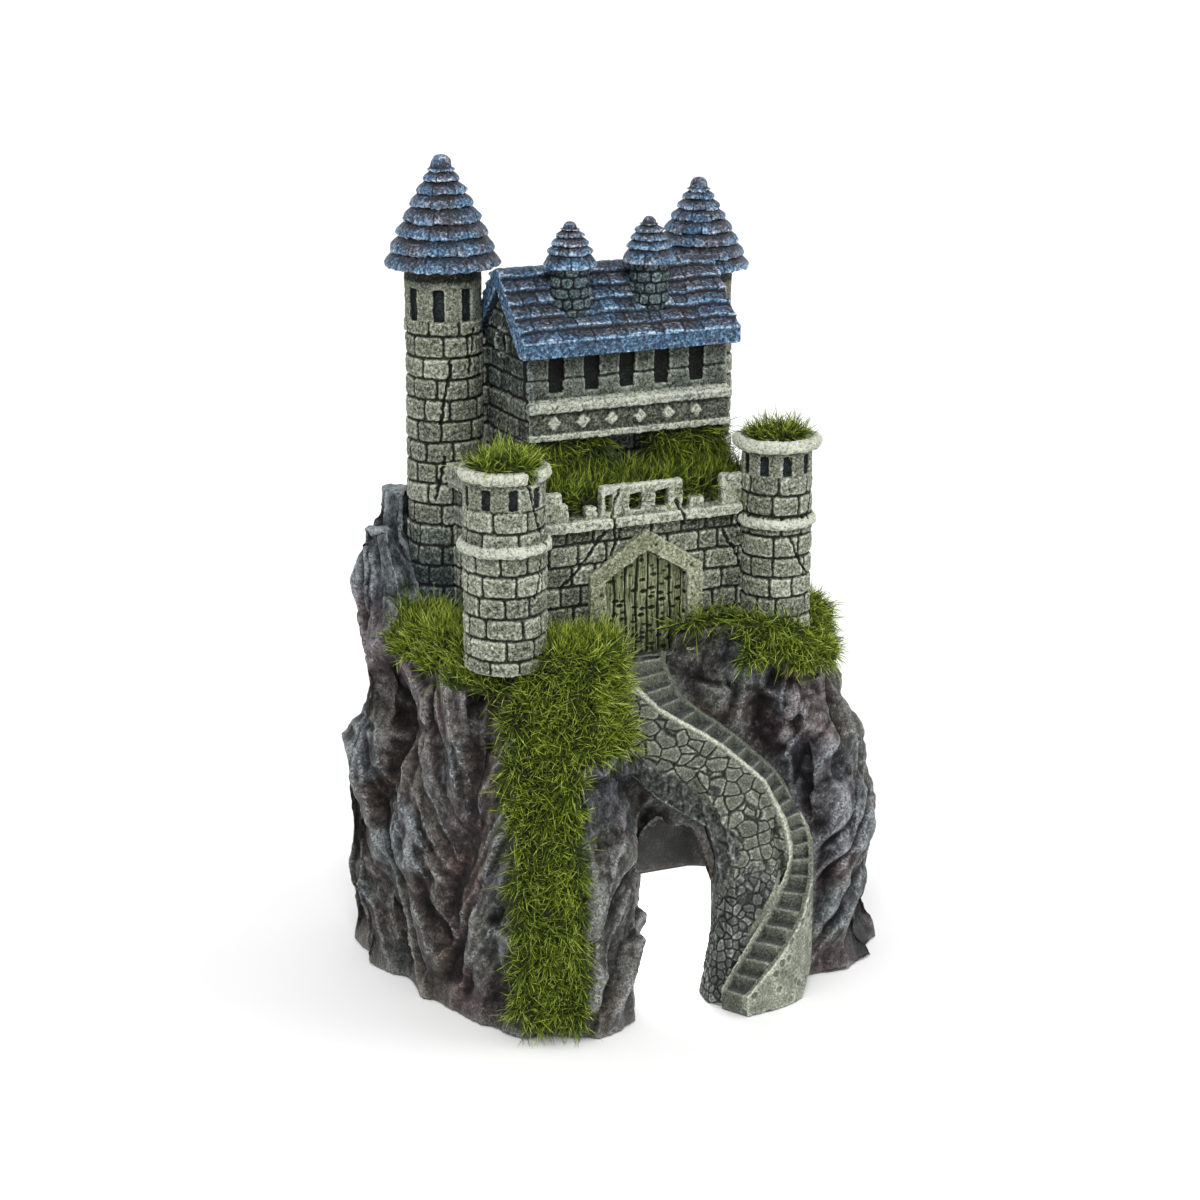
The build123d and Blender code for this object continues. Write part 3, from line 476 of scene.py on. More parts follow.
def moss_paint():
    """Flock: the fibres run from dark at the root to yellow-green at the tip, the turf is dark soil green."""
    p = Paint("moss", roughness=0.6, specular=0.25)
    p.shader.inputs["Sheen Weight"].default_value = 0.04
    tone = p.attribute("light")
    speck = p.noise(1.0, detail=2.0)
    tone = p.math("MULTIPLY_ADD", speck, 0.06, tone)
    fibre = p.ramp(tone, [(0.0, (16, 24, 0)), (0.3, (62, 82, 4)), (0.55, (112, 136, 8)),
                          (0.8, (176, 194, 44)), (1.0, (224, 232, 140))])
    turf = p.ramp(tone, [(0.0, (10, 14, 2)), (0.5, (40, 50, 10)), (0.8, (84, 88, 44)),
                         (1.0, (150, 150, 120))])
    colour = p.mix(p.attribute("fibre"), turf, fibre)
    return p.finish(colour, speck, 0.15)


TILE, WOOD, ROCK, MOSS = tile_paint(), wood_paint(), rock_paint(), moss_paint()


# ------------------------------------------------------------------ masonry
def staggered(v, joint):
    """Which stone of its course each place v is in, if joint(k) moves joint k, and how far from a joint."""
    i = np.floor(v)
    i = i + (v > i + 1 + joint(i + 1)) - (v < i + joint(i))
    return i, np.minimum(v - i - joint(i), i + 1 + joint(i + 1) - v)


def courses(p, u, z, row, length, seed, around=0, wave=0.3):
    """Running bond: how far a point is inside its stone's outline, to 1 mm, and the stone's random tone."""
    z = z + wave * noise(p * 0.11, seed + 50) + 0.12 * noise(p * 0.6, seed + 51)
    u = u + 0.22 * noise(p * 0.45, seed + 52)
    level = np.floor(z / row)
    v = u / length + hashed(level, 3, 0, seed) * 0.3 + 0.5 * (level % 2)

    def joint(k):
        k = k % around if around else k
        return 0.2 * (2 * hashed(k, level, 1, seed) - 1)

    i, away = staggered(v, joint)
    across = away * length
    f = z / row - level
    upright = np.minimum(f, 1 - f) * row
    inside = 1 - np.hypot(np.maximum(1 - across, 0), np.maximum(1 - upright, 0))
    k = i % around if around else i
    return inside, hashed(k, level, 2, seed)


def crack_mask(u, z, points, p, width=0.35, seed=0):
    """1 on a wandering crack along the (u, z) points, falling to 0 beside it."""
    nearest = np.full(len(u), 99.0)
    uu = u + 0.45 * noise(p * 0.7, seed)
    zz = z + 0.45 * noise(p * 0.7 + 31, seed)
    for (u0, z0), (u1, z1) in zip(points, points[1:]):
        du, dz = u1 - u0, z1 - z0
        t = np.clip(((uu - u0) * du + (zz - z0) * dz) / (du * du + dz * dz), 0, 1)
        nearest = np.minimum(nearest, np.hypot(uu - u0 - t * du, zz - z0 - t * dz))
    return 1 - smooth(width * 0.4, width * 1.5, nearest)


def dress(c, stone, inside, tone, wall, joint=0.29, depth=0.45, grain=0.2, seed=0):
    """Cuts the joints where wall is 1, sets each stone a little in or out, and roughens its face."""
    joint_cut = 1 - smooth(joint * 0.25, joint * 1.6, inside)
    relief = -depth * joint_cut + 0.42 * (tone - 0.5) + 0.12 * smooth(0.2, 1.0, inside)
    rough = fbm(stone * 1.1, 3, seed + 7) * grain + 0.12 * fbm(stone * 0.35, 2, seed + 8)
    c.push(wall * (relief + rough) + (1 - wall) * rough * 0.6)
    return joint_cut


def weather(c, joint_cut, wall, tone, base=0.5, seed=0, edge=1.0):
    """The 'light' of dry-brushed stone: dark in joints and hollows, pale on edges and upper faces."""
    near, wide = c.hollow(2), c.hollow(10)
    light = base + 0.16 * (tone - 0.5) * wall - 0.3 * joint_cut * wall
    light = light - edge * (1.6 * np.clip(near, -0.15, 0.2) + 0.55 * np.clip(wide, -0.5, 0.6))
    light = light + 0.08 * c.no[:, 2] + 0.05 * fbm(c.co * 0.13, 3, seed + 11)
    return light


def round_masonry(name, node, seed, row=5.0, length=7.2, voxel=0.32, trims=(), cracks=(), cold=None,
                  slots=None, base=0.5, dark=None, joint=0.29):
    """A round tower or bastion. trims are (radius above which, z from, z to) of plain moulded bands."""
    lo, hi = box_mm(node)
    x, y = (lo[0] + hi[0]) / 2, (lo[1] + hi[1]) / 2
    r = ROUND_RADIUS[node]
    c = skin([node], voxel)
    p = c.co.copy()
    a = np.arctan2(p[:, 1] - y, p[:, 0] - x)
    radial = np.hypot(p[:, 0] - x, p[:, 1] - y)
    around = int(round(2 * math.pi * r / length))
    inside, tone = courses(p, (a + math.pi) * around * length / (2 * math.pi), p[:, 2] - lo[2] + 1.5,
                           row, length, seed, around)
    side = smooth(0.5, 0.8, np.hypot(c.no[:, 0], c.no[:, 1])) * smooth(r - 0.7, r - 0.35, radial)
    trim = np.zeros(len(p))
    for r_in, z0, z1 in trims:
        trim = np.maximum(trim, smooth(r_in - 0.15, r_in + 0.15, radial) * (p[:, 2] > z0) * (p[:, 2] < z1))
    wall = side * (1 - trim)
    in_slot = np.zeros(len(p))
    if slots:
        z0, z1 = slots
        in_slot = ((p[:, 2] > z0) * (p[:, 2] < z1) * (1 - smooth(r - 0.65, r - 0.3, radial))
                   * (radial > r - 2.2))
        wall = wall * (1 - smooth(z0 - 0.4, z0, p[:, 2]))
    cut = dress(c, p, inside, tone, wall, joint=joint, depth=0.45 * joint / 0.29, seed=seed)
    c.push(trim * (0.28 * fbm(p * 0.4, 2, seed + 3) + 0.12 * fbm(p * 1.3, 2, seed + 4)))
    cracked = np.zeros(len(p))
    for line in cracks:
        mark = crack_mask(np.degrees(a) * math.pi / 180 * r, p[:, 2],
                          [(math.radians(d) * r, z) for d, z in line], p, seed=seed)
        cracked = np.maximum(cracked, mark)
    c.push(-0.55 * cracked)
    light = weather(c, cut, wall, tone, base, seed)
    light = light + 0.3 * trim - 0.45 * cracked - 0.3 * in_slot
    inner = (1 - smooth(r - 2.2, r - 1.9, radial)) * (np.abs(c.no[:, 2]) < 0.5)
    light = light - 0.3 * inner
    c.paint["light"] = light - (dark(p) if dark else 0)
    c.paint["cold"] = (cold(p) if cold else 0.12 + 0.1 * fbm(p * 0.07, 2, seed)) + 0.8 * in_slot
    return c.piece(name, CASTLE, [node], "castle_stone")


ROUND_RADIUS = {"left_bastion": 9.3, "right_bastion": 8.2, "left_tower": 9.0, "right_tower": 8.2,
                "left_dormer": 4.5, "right_dormer": 4.5}
SHELF = box_mm("left_tower")[0][2] + 2.0


def bastions():
    for side, ring_up, height in (("left", 28.5, 46.0), ("right", 26.0, 45.5)):
        node = side + "_bastion"
        foot = box_mm(node)[0][2]
        r, top, ring = ROUND_RADIUS[node], foot + height, foot + ring_up
        if side == "left":
            cracks = [
                [(-78, top - 2), (-66, top - 9), (-52, top - 15), (-48, ring + 1), (-58, ring - 6),
                 (-66, ring - 11)],
                [(-52, top - 14), (-38, top - 9)],
            ]
        else:
            cracks = [[(-40, ring + 12), (-52, ring + 4), (-60, ring + 1)],
                      [(-95, ring - 3), (-80, ring - 8), (-66, ring - 11), (-50, ring - 13)]]
        round_masonry(
            node, node, seed=11 if side == "left" else 23, row=4.9, length=7.3,
            trims=((r + 0.35, ring - 2, ring + 2), (r + 0.35, top - 3.2, top + 2)),
            cracks=cracks, slots=(top - 8.2, top - 3.4), base=0.53,
        )


def towers():
    for side, seed in (("left", 31), ("right", 47)):
        node = side + "_tower"
        top = box_mm(node)[1][2]

        def cold(p, side=side):
            low = 1 - smooth(SHELF + 4, SHELF + 34, p[:, 2])
            # painted shade: the left tower's half that faces the hall is made bluer and darker
            hall_side_shade = smooth(2, 9, (p[:, 0] - box_mm("left_tower")[0][0] - 9)) if side == "left" else 0.0
            return 0.12 + 0.75 * low + 0.25 * hall_side_shade + 0.1 * fbm(p * 0.07, 2, 5)

        line = [[(-100, top - 22), (-112, top - 30), (-118, top - 36)],
                [(-112, top - 44), (-128, top - 54)], [(-62, top - 14), (-72, top - 24)]]
        # darker towards the foot, and darker in a band just under the roof, which is partly dark paint and
        # partly painted shadow of the roof
        def dark(p, top=top):
            return (0.22 * (1 - smooth(SHELF, SHELF + 30, p[:, 2]))
                    + 0.4 * smooth(top - 3.4, top - 2.6, p[:, 2]))

        round_masonry(node, node, seed=seed, row=5.0, length=7.0, cracks=line if side == "left" else (),
                      cold=cold,
                      slots=(top - 12.2, top - 4.6), base=0.5, dark=dark)


def dormers():
    for side, seed in (("left", 61), ("right", 67)):
        node = side + "_dormer"
        round_masonry(node, node, seed=seed, row=2.6, length=3.3, voxel=0.24, joint=0.2,
                      cold=lambda p: 1 + 0.2 * fbm(p * 0.2, 2, 9), base=0.44)


def wall_masonry(name, nodes, seed, row=5.0, length=7.6, voxel=0.34, wall_mask=None, trim_mask=None,
                 dark=None, cold=0.12, base=0.5, cracks=(), material=None, slot="castle_stone", z_from=0.0,
                 extra=(), shape=None):
    """Flat walls in courses; u runs along x on faces that look along y, and along y on the others."""
    c = skin(nodes, voxel, extra)
    if shape:
        shape(c)
    p = c.co.copy()
    looks_x = np.abs(c.no[:, 0]) > np.abs(c.no[:, 1])
    u = np.where(looks_x, p[:, 1], p[:, 0])
    inside, tone = courses(p, u, p[:, 2] - z_from, row, length, seed)
    wall = smooth(0.5, 0.8, np.hypot(c.no[:, 0], c.no[:, 1]))
    trim = trim_mask(p, c.no) if trim_mask else np.zeros(len(p))
    if wall_mask:
        wall = wall * wall_mask(p, c.no)
    wall = wall * (1 - trim)
    cut = dress(c, p, inside, tone, wall, seed=seed)
    c.push(trim * (0.22 * fbm(p * 0.4, 2, seed + 3) + 0.12 * fbm(p * 1.3, 2, seed + 4)))
    cracked = np.zeros(len(p))
    for line in cracks:
        cracked = np.maximum(cracked, crack_mask(u, p[:, 2], line, p, seed=seed) * (~looks_x))
    c.push(-0.55 * cracked)
    light = weather(c, cut, wall, tone, base, seed) + 0.26 * trim - 0.55 * cracked
    if dark:
        light = light - dark(p, c.no)
    c.paint["light"] = light
    c.paint["cold"] = (cold(p) if callable(cold) else cold) + 0.1 * fbm(p * 0.07, 2, seed)
    return c.piece(name, material or CASTLE, nodes, slot)


def front_wall():
    lo = box_mm("curtain_wall")[0]
    sill, front = lo[2], lo[1] + 1.3
    string = sill + 31.5

    def trim(p, n):
        return smooth(string - 0.3, string + 0.1, p[:, 2])

    def dark(p, n):
        # painted shade just under the projecting string course on the front; the wall also darkens towards its
        # foot
        shade_below = bump_at(p[:, 2], string - 1.6, 1.6) * (p[:, 1] < front + 1)
        foot = 1 - smooth(sill + 2, sill + 12, p[:, 2])
        return 0.16 * shade_below + 0.14 * foot

    cracks = [
        [(-9.5, string + 8.6), (-11.5, string + 3), (-10.5, string - 3), (-12.5, string - 10)],
        [(-13.5, string - 1), (-19, string - 8), (-24, string - 13)],
        [(17.5, string - 4), (21, string - 10), (23, string - 14)],
        [(5.0, string + 5), (7.4, string - 1)],
    ]
    wall_masonry("curtain_wall", ["curtain_wall"], 71, row=4.9, length=7.2, voxel=0.32, trim_mask=trim,
                 dark=dark, cracks=cracks,
                 z_from=sill - 1.0, base=0.47, cold=0.1)


def gate():
    c = skin(["gate_surround"], 0.26)
    p = c.co.copy()
    c.push(0.2 * fbm(p * 0.35, 2, 81) + 0.14 * fbm(p * 1.2, 3, 82))
    pits = cells(p / 2.3, 83)[0]
    c.push(-0.35 * (1 - smooth(0.12, 0.3, pits)))
    light = (0.62 - 1.5 * np.clip(c.hollow(2), -0.15, 0.2) - 0.5 * np.clip(c.hollow(10), -0.5, 0.6)
             - 0.3 * (1 - smooth(0.12, 0.3, pits)))
    foot = 1 - smooth(84, 98, p[:, 2])
    c.paint["light"] = light - 0.2 * foot - 0.1 * (p[:, 0] < 0)
    c.paint["cold"] = np.full(len(p), 0.06)
    c.piece("gate_surround", PALE, ["gate_surround"], "pale_stone")

    c = skin(["gate_door"], 0.22, relax=1)
    p = c.co.copy()
    lo, hi = box_mm("gate_door")
    front = smooth(0.4, 0.8, -c.no[:, 1])
    board = (p[:, 0] - lo[0]) / 2.9 + 0.16 * noise(p * (0.3, 0.3, 0.12), 85)
    edge = np.abs(board - np.round(board)) * 2.9
    seam = 1 - smooth(0.1, 0.45, edge)
    grain = noise(p * (1.9, 1, 0.25), 86) + 0.6 * noise(p * (3.4, 1, 0.5), 87)
    near, _, mark = cells(p * (0.4, 0.3, 0.75), 88, 0.9)
    middle = bump_at(p[:, 2], (lo[2] + hi[2]) / 2 - 1, 8.5)
    chip = (1 - smooth(0.22, 0.5, near)) * (mark > 0.35) * (0.35 + 0.65 * middle)
    c.push(front * (-0.5 * seam + 0.13 * grain - 0.55 * chip
                    + 0.18 * (hashed(np.floor(board), 0, 0, 89) - 0.5)))
    light = (0.5 - 0.36 * seam * front + 0.14 * grain - 0.4 * chip * front
             - 1.5 * np.clip(c.hollow(2), -0.2, 0.25) - 0.4 * np.clip(c.hollow(10), -0.5, 0.5))
    light = light - 0.16 * (1 - smooth(84, 96, p[:, 2]))
    c.paint["light"] = light
    c.piece("gate_door", WOOD, ["gate_door"], "door_wood")


def back_walls():
    wall_masonry("side_wall", ["side_wall"], 91, row=5.0, length=7.0, cold=0.3, base=0.42,
                 trim_mask=lambda p, n: smooth(119.0, 119.6, p[:, 2]) * 0.8)
    wall_masonry("terrace_block", ["terrace_block"], 93, cold=0.3, base=0.4)
    wall_masonry("hall_base", ["hall_base"], 97, row=4.7, length=6.5, cold=0.45, base=0.34)


def hall_block():
    lo = box_mm("hall")[0]
    base_lo = box_mm("hall_base")[0]
    front, floor = base_lo[1] - 4.0, lo[2]
    eaves = box_mm("hall_roof")[0][2]
    ledge = floor + 6.6
    sill_top = ledge + 3.1
    eye_y, eye_z = sum(b[1] for b in box_mm("hall_roof")) / 2, floor + 21.0

    x0, y0, z0, z1 = lo[0] - 1.2, box_mm("left_tower")[0][1] + 5.4, base_lo[2] + 0.5, eaves + 1.0
    plan = [(x0, y0), (x0 + 2.6, y0), (x0 + 2.6, y0 + 4.4), (x0, y0 + 4.4)]
    corner = ([(x, y, z) for z in (z0, z1) for x, y in plan],
              [(3, 2, 1, 0), (4, 5, 6, 7)] + [(i, (i + 1) % 4, 4 + (i + 1) % 4, 4 + i) for i in range(4)])

    def plain(p, n):
        """Where the courses stop: the front, which has piers, ledges and a band instead."""
        return 1 - smooth(-front - 1.9, -front - 1.5, -p[:, 1]) * (n[:, 1] < 0.3) * (np.abs(n[:, 0]) < 0.8)

    def trim(p, n):
        in_front = smooth(0.2, 0.6, front - p[:, 1])
        lower = (p[:, 2] < floor + 1.6)
        upper = (p[:, 2] > ledge - 0.1) * (p[:, 2] < sill_top + 0.2)
        stud = (smooth(front - 1.2 - 0.15, front - 1.2 - 0.45, p[:, 1]) * (p[:, 2] > floor + 1.9)
                * (p[:, 2] < ledge - 0.4))
        return np.clip(in_front * (lower | upper) + stud, 0, 1)

    def dark(p, n):
        recess = (smooth(front + 0.5, front + 0.9, p[:, 1]) * (p[:, 1] < front + 2.2)
                  * (p[:, 2] > sill_top - 0.4) * (p[:, 2] < eaves))
        band = (p[:, 2] > floor + 1.7) * (p[:, 2] < ledge) * (p[:, 1] < front) * 0.06
        stud = smooth(front - 1.2 - 0.15, front - 1.2 - 0.45, p[:, 1])
        # the left gable end is darker, partly its paint and partly painted shade
        gable_paint_and_shade = (n[:, 0] < -0.6) * 0.1
        shade = bump_at(p[:, 2], eaves, 3.0) * 0.12
        eye = (1 - smooth(2.3, 2.7, np.hypot(p[:, 1] - eye_y, p[:, 2] - eye_z))) * (np.abs(n[:, 0]) > 0.5)
        return 0.55 * recess * (p[:, 1] < 10) + band * (1 - stud) + gable_paint_and_shade + shade + 0.4 * eye

    def cold(p):
        # the left gable end is also bluer, partly its paint and partly painted shade
        return 0.28 + 0.2 * (p[:, 2] > sill_top) + 0.18 * (p[:, 0] < lo[0] + 1.5)

    def shape(c):
        p = c.co
        pier = ((p[:, 1] < front + 0.5) * (p[:, 1] > front - 0.6) * (p[:, 2] > sill_top)
                * (p[:, 2] < eaves - 0.2))
        z_joint = sill_top + 4.4 + 0.3 * noise(p * 0.2, 3)
        ring = bump_at(np.hypot(p[:, 1] - eye_y, p[:, 2] - eye_z), 3.3, 0.75) * (np.abs(c.no[:, 0]) > 0.8)
        c.push(0.9 * ring - 0.45 * pier * bump_at(p[:, 2], z_joint, 0.28))

    wall_masonry("hall", ["hall"], 101, row=4.7, length=6.4, voxel=0.32, wall_mask=plain, trim_mask=trim,
                 dark=dark, cold=cold,
                 base=0.45, shape=shape, z_from=floor, extra=[corner])


# ------------------------------------------------------------------ roofs
def cone_roof(name, node, base_z, rings, cap_r, tab, seed, wave=0.3):
    """A cone of overlapping courses with ragged lips: rings are (radius, height) of each, then the tip."""
    lo, hi = box_mm(node)
    x, y = (lo[0] + hi[0]) / 2, (lo[1] + hi[1]) / 2
    step = 0.3 * 1
    turns = int(2 * math.pi * rings[0][0] / step)
    a = np.arange(turns) / turns * 2 * math.pi
    rows = []  # radius, z, course, share up the course

    def run(points, k):
        """Rows along a profile, evenly spaced."""
        points = np.array(points, float)
        far = np.r_[0, np.cumsum(np.linalg.norm(np.diff(points, axis=0), axis=1))]
        for t in np.linspace(0, 1, max(3, int(far[-1] / step)), endpoint=False):
            rows.append((np.interp(t * far[-1], far, points[:, 0]),
                         np.interp(t * far[-1], far, points[:, 1]), k, t))

    count = len(rings) - 1
    run([(0.02, base_z), (rings[0][0] - 1.4, base_z + 0.02)], -1)
    for k in range(count):
        (r, up), (r_next, up_next) = rings[k], rings[k + 1]
        z, z_next = base_z + up, base_z + up_next
        if k == count - 1:
            z_next = z + 0.3 * (z_next - z)
        thick = min(1.0, (z_next - z) * 0.32)
        inner = r_next - 1.1 if k < count - 1 else cap_r
        run([(r - 1.3 * thick, z + 0.35 * thick), (r - 0.5 * thick, z - 0.1), (r - 0.08, z + 0.1 * thick),
             (r, z + 0.5 * thick),
             (r - 0.22 * thick, z + 1.1 * thick), (r - 0.55, z + 1.7 * thick),
             (max(inner, 0.4), z_next + 0.3 * (k < count - 1))], k)
    tip = base_z + rings[-1][1]
    z_cap = rows[-1][1]
    for s in np.linspace(0.0, 0.98, 9):
        rows.append((max(cap_r * math.cos(s * math.pi / 2) ** 0.8, 0.06),
                     z_cap + (tip - z_cap) * math.sin(s * math.pi / 2), count, 1.0))
    rows = np.array(rows)
    shape = (len(rows), turns)
    r, z, k, s = (np.broadcast_to(rows[:, j : j + 1], shape).copy() for j in range(4))
    k = k.astype(int)
    on = ((k >= 0) & (k < count)).astype(float)
    lip = on * (1 - smooth(0.3, 0.62, s))
    radius = np.array([v[0] for v in rings])[np.clip(k, 0, count)]
    around = np.maximum(np.round(2 * math.pi * radius / tab), 5).astype(int)
    v = a[None, :] / (2 * math.pi) * around + hashed(k + 9, 0, 0, seed)

    def joint(i):
        return 0.3 * (2 * hashed(i % around, k + 9, 1, seed) - 1)

    i, away = staggered(v, joint)
    gap = away * 2 * math.pi * np.maximum(r, 0.6) / around
    tone, drop = hashed(i % around, k + 9, 2, seed), hashed(i % around, k + 9, 3, seed) - 0.5
    seam = ((1 - smooth(0.05, 0.34, gap)) * on * (1 - smooth(0.7, 0.95, s))
            * (hashed(i % around, k + 9, 4, seed) > 0.4))
    ragged = np.stack([np.cos(a)[None, :] * radius * 0.45, np.sin(a)[None, :] * radius * 0.45, k * 7.7], -1)
    ragged = ragged.reshape(-1, 3)
    edge = (noise(ragged, seed + 5) + 0.6 * noise(ragged * 2.3, seed + 6)).reshape(shape)
    z = z + lip * (wave * edge + wave * 0.9 * drop)
    r = r + lip * (0.3 * wave * edge + 0.25 * (tone - 0.5)) - 0.2 * seam
    flat = np.stack([x + r * np.cos(a), y + r * np.sin(a), z], -1).reshape(-1, 3)
    rough = (0.18 * fbm(flat * 0.5, 3, seed + 9) + 0.1 * fbm(flat * 1.5, 2, seed + 10)).reshape(shape)
    r = np.maximum(r + rough * np.minimum(r / 2, 1) * (k >= 0), 0.02)
    p = np.stack([x + r * np.cos(a), y + r * np.sin(a), z], -1).reshape(-1, 3)
    n = len(rows)
    q = np.arange(turns)
    w = (q + 1) % turns
    faces = []
    for j in range(n - 1):
        low, high = j * turns, (j + 1) * turns
        faces += np.stack([low + q, low + w, high + w, high + q], 1).tolist()
    bottom, top = len(p), len(p) + 1
    p = np.vstack([p, [[x, y, base_z]], [[x, y, p[-turns:, 2].max() + 0.02]]])
    faces += np.stack([np.full(turns, bottom), w, q], 1).tolist()
    faces += np.stack([(n - 1) * turns + q, (n - 1) * turns + w, np.full(turns, top)], 1).tolist()

    def field(values, first=0.0, last=0.0):
        return np.r_[values.ravel(), first, last]

    c = Casting(mesh_from(p, faces))
    tone, seam, lip, s_all, shade_below = (
        field(tone, 0.5, 0.5), field(seam), field(lip), field(s, 0, 1), field((k < 0) * 1.0, 1))
    light = (0.44 + 0.12 * (tone - 0.5) - 0.2 * seam + 0.05 * lip - 0.7 * np.clip(c.hollow(2), -0.15, 0.2)
             - 0.5 * np.clip(c.hollow(8), -0.4, 0.6))
    # painted shade: each course darkens towards its top, under the lip of the next course, and the underside
    # is darkened too
    light = light - 0.36 * smooth(0.5, 1.0, s_all) * field(on) - 0.4 * shade_below
    c.paint["light"] = light
    c.paint["lip"] = 0.26 + 0.4 * lip + 0.7 * fbm(c.co * 0.2, 2, seed + 13)
    return c.piece(name, TILE, [node], "roof_tile")


TOWER_RINGS = [(13.4, 0.0), (12.1, 3.6), (10.6, 7.1), (9.0, 10.5), (7.3, 14.0), (5.8, 16.9), (4.3, 19.6),
               (3.1, 21.9), (0, 25.6)]
CAP_RINGS = [(6.2, 0.0), (5.3, 3.3), (4.4, 5.2), (3.4, 7.0), (2.3, 8.6), (0, 10.5)]


def roofs():
    for side, seed in (("left", 201), ("right", 211)):
        for node, below, rings, full, cap, tab, wave in (
            (side + "_tower_roof", side + "_tower", TOWER_RINGS, 26.5, 2.4, 4.4, 0.34),
            (side + "_dormer_cap", side + "_dormer", CAP_RINGS, 10.6, 1.6, 4.0, 0.16),
        ):
            lo, hi = box_mm(node)
            base = box_mm(below)[1][2]
            wide, tall = (hi[0] - lo[0]) / 2 / (rings[0][0] + 0.5), (hi[2] - base) / full
            cone_roof(node, node, base, [(r * wide, z * tall) for r, z in rings], cap * wide, tab, seed, wave)
            seed += 3


def saddle_roof():
    """The hall's roof: six rows of wavy tiles a side, a heavy speckled eaves board and a ridge."""
    c = skin(["hall_roof"], 0.32)
    p = c.co.copy()
    lo, hi = box_mm("hall_roof")
    ridge_y, ridge_z = (lo[1] + hi[1]) / 2, hi[2]
    board = lo[2] + 3.4
    run = (hi[1] - lo[1]) / 2
    rise = ridge_z - board
    slope_len = math.hypot(run, rise)
    down = np.abs(p[:, 1] - ridge_y) / run * slope_len
    outer = smooth(0.35, 0.6, c.no[:, 2])
    count = 6
    row = slope_len / count
    wave = (0.5 * noise(np.stack([p[:, 0] * 0.16, np.sign(p[:, 1] - ridge_y), down * 0.08], 1), 221)
            + 0.22 * noise(p * 0.5, 222))
    level = (down + wave) / row
    k = np.clip(np.floor(level), 0, count - 1)
    f = level - k
    f = np.clip(f, 0, 1)
    side_id = (p[:, 1] > ridge_y).astype(int)
    width = 4.6
    v = p[:, 0] / width + hashed(k, side_id, 0, 223) + 0.12 * noise(p * 0.4, 224)

    def joint(i):
        return 0.25 * (2 * hashed(i, k, side_id, 225) - 1)

    i, away = staggered(v, joint)
    gap = away * width
    tone, drop = hashed(i, k, side_id, 226), hashed(i, k, side_id + 2, 227)
    seam = (1 - smooth(0.1, 0.36, gap)) * (drop > 0.4)
    ridge = 1 - smooth(1.0, 1.6, down)
    lift = 1.15 * f**0.8 * (1 - smooth(0.96, 1.0, f)) * (0.75 + 0.5 * tone)
    last = (k == count - 1)
    lift = np.where(last & (f > 0.9), 1.0, lift)
    grain = 0.14 * fbm(p * 0.8, 3, 228)
    c.push(outer * (1 - ridge) * (lift - 0.2 * seam - 0.35) + ridge * outer * 0.3 + grain)
    front = smooth(0.5, 0.8, np.abs(c.no[:, 1])) * (p[:, 2] < board + 0.6)
    verge = smooth(0.6, 0.85, np.abs(c.no[:, 0]))
    lip = outer * smooth(0.55, 0.9, f) * (1 - ridge)
    # painted shade at the top of each row, under the lip of the row above
    light = (0.4 + 0.16 * (tone - 0.5) * outer - 0.16 * seam * outer + 0.04 * lip
             - 0.3 * outer * (1 - smooth(0.0, 0.25, f)) * (1 - ridge))
    light = light - 1.0 * np.clip(c.hollow(2), -0.15, 0.2) - 0.45 * np.clip(c.hollow(9), -0.5, 0.6)
    # painted shade on faces that look down
    light = light + 0.1 * verge + 0.05 * front - 0.3 * smooth(0.5, 0.8, -c.no[:, 2])
    c.paint["light"] = light
    c.paint["lip"] = np.clip(0.3 + 0.5 * lip + 0.5 * fbm(p * 0.12, 2, 229) + 0.6 * front + 0.75 * verge
                             + 0.4 * ridge * outer, 0, 1)
    c.piece("hall_roof", TILE, ["hall_roof"], "roof_tile")


# ------------------------------------------------------------------ staircase
# the top of the flight's left parapet, from the gate down to the foot: the left edge of part.py's STAIR_LINE
COPE = [
    (-12, -20.9, 84.6), (-11, -24.5, 79), (-3, -28, 71), (10, -31.5, 62.5), (21.6, -33.6, 52),
    (26.9, -35, 40.3),
    (27.5, -35.8, 34.6), (26, -36.5, 29), (20, -39, 20.6), (12.2, -41.5, 13.3), (6, -42.5, 5),
]


def from_line(p, points):
    """Distance of each point from a line in space, and how far outside that line it lies in plan."""
    nearest, beyond = np.full(len(p), 999.0), np.zeros(len(p))
    nearest_plan = np.full(len(p), 999.0)
    for a, b in zip(np.array(points[:-1], float), np.array(points[1:], float)):
        t = np.clip(((p - a) @ (b - a)) / ((b - a) @ (b - a)), 0, 1)
        nearest = np.minimum(nearest, np.linalg.norm(p - a - t[:, None] * (b - a), axis=1))
        ab, ap = (b - a)[:2], p[:, :2] - a[:2]
        t = np.clip((ap @ ab) / (ab @ ab), 0, 1)
        plan = np.linalg.norm(ap - t[:, None] * ab, axis=1) + 0.02 * np.abs(p[:, 2] - (a + b)[2] / 2)
        side = (ap[:, 0] * ab[1] - ap[:, 1] * ab[0]) / np.linalg.norm(ab)
        beyond = np.where(plan < nearest_plan, side, beyond)
        nearest_plan = np.minimum(nearest_plan, plan)
    return nearest, beyond


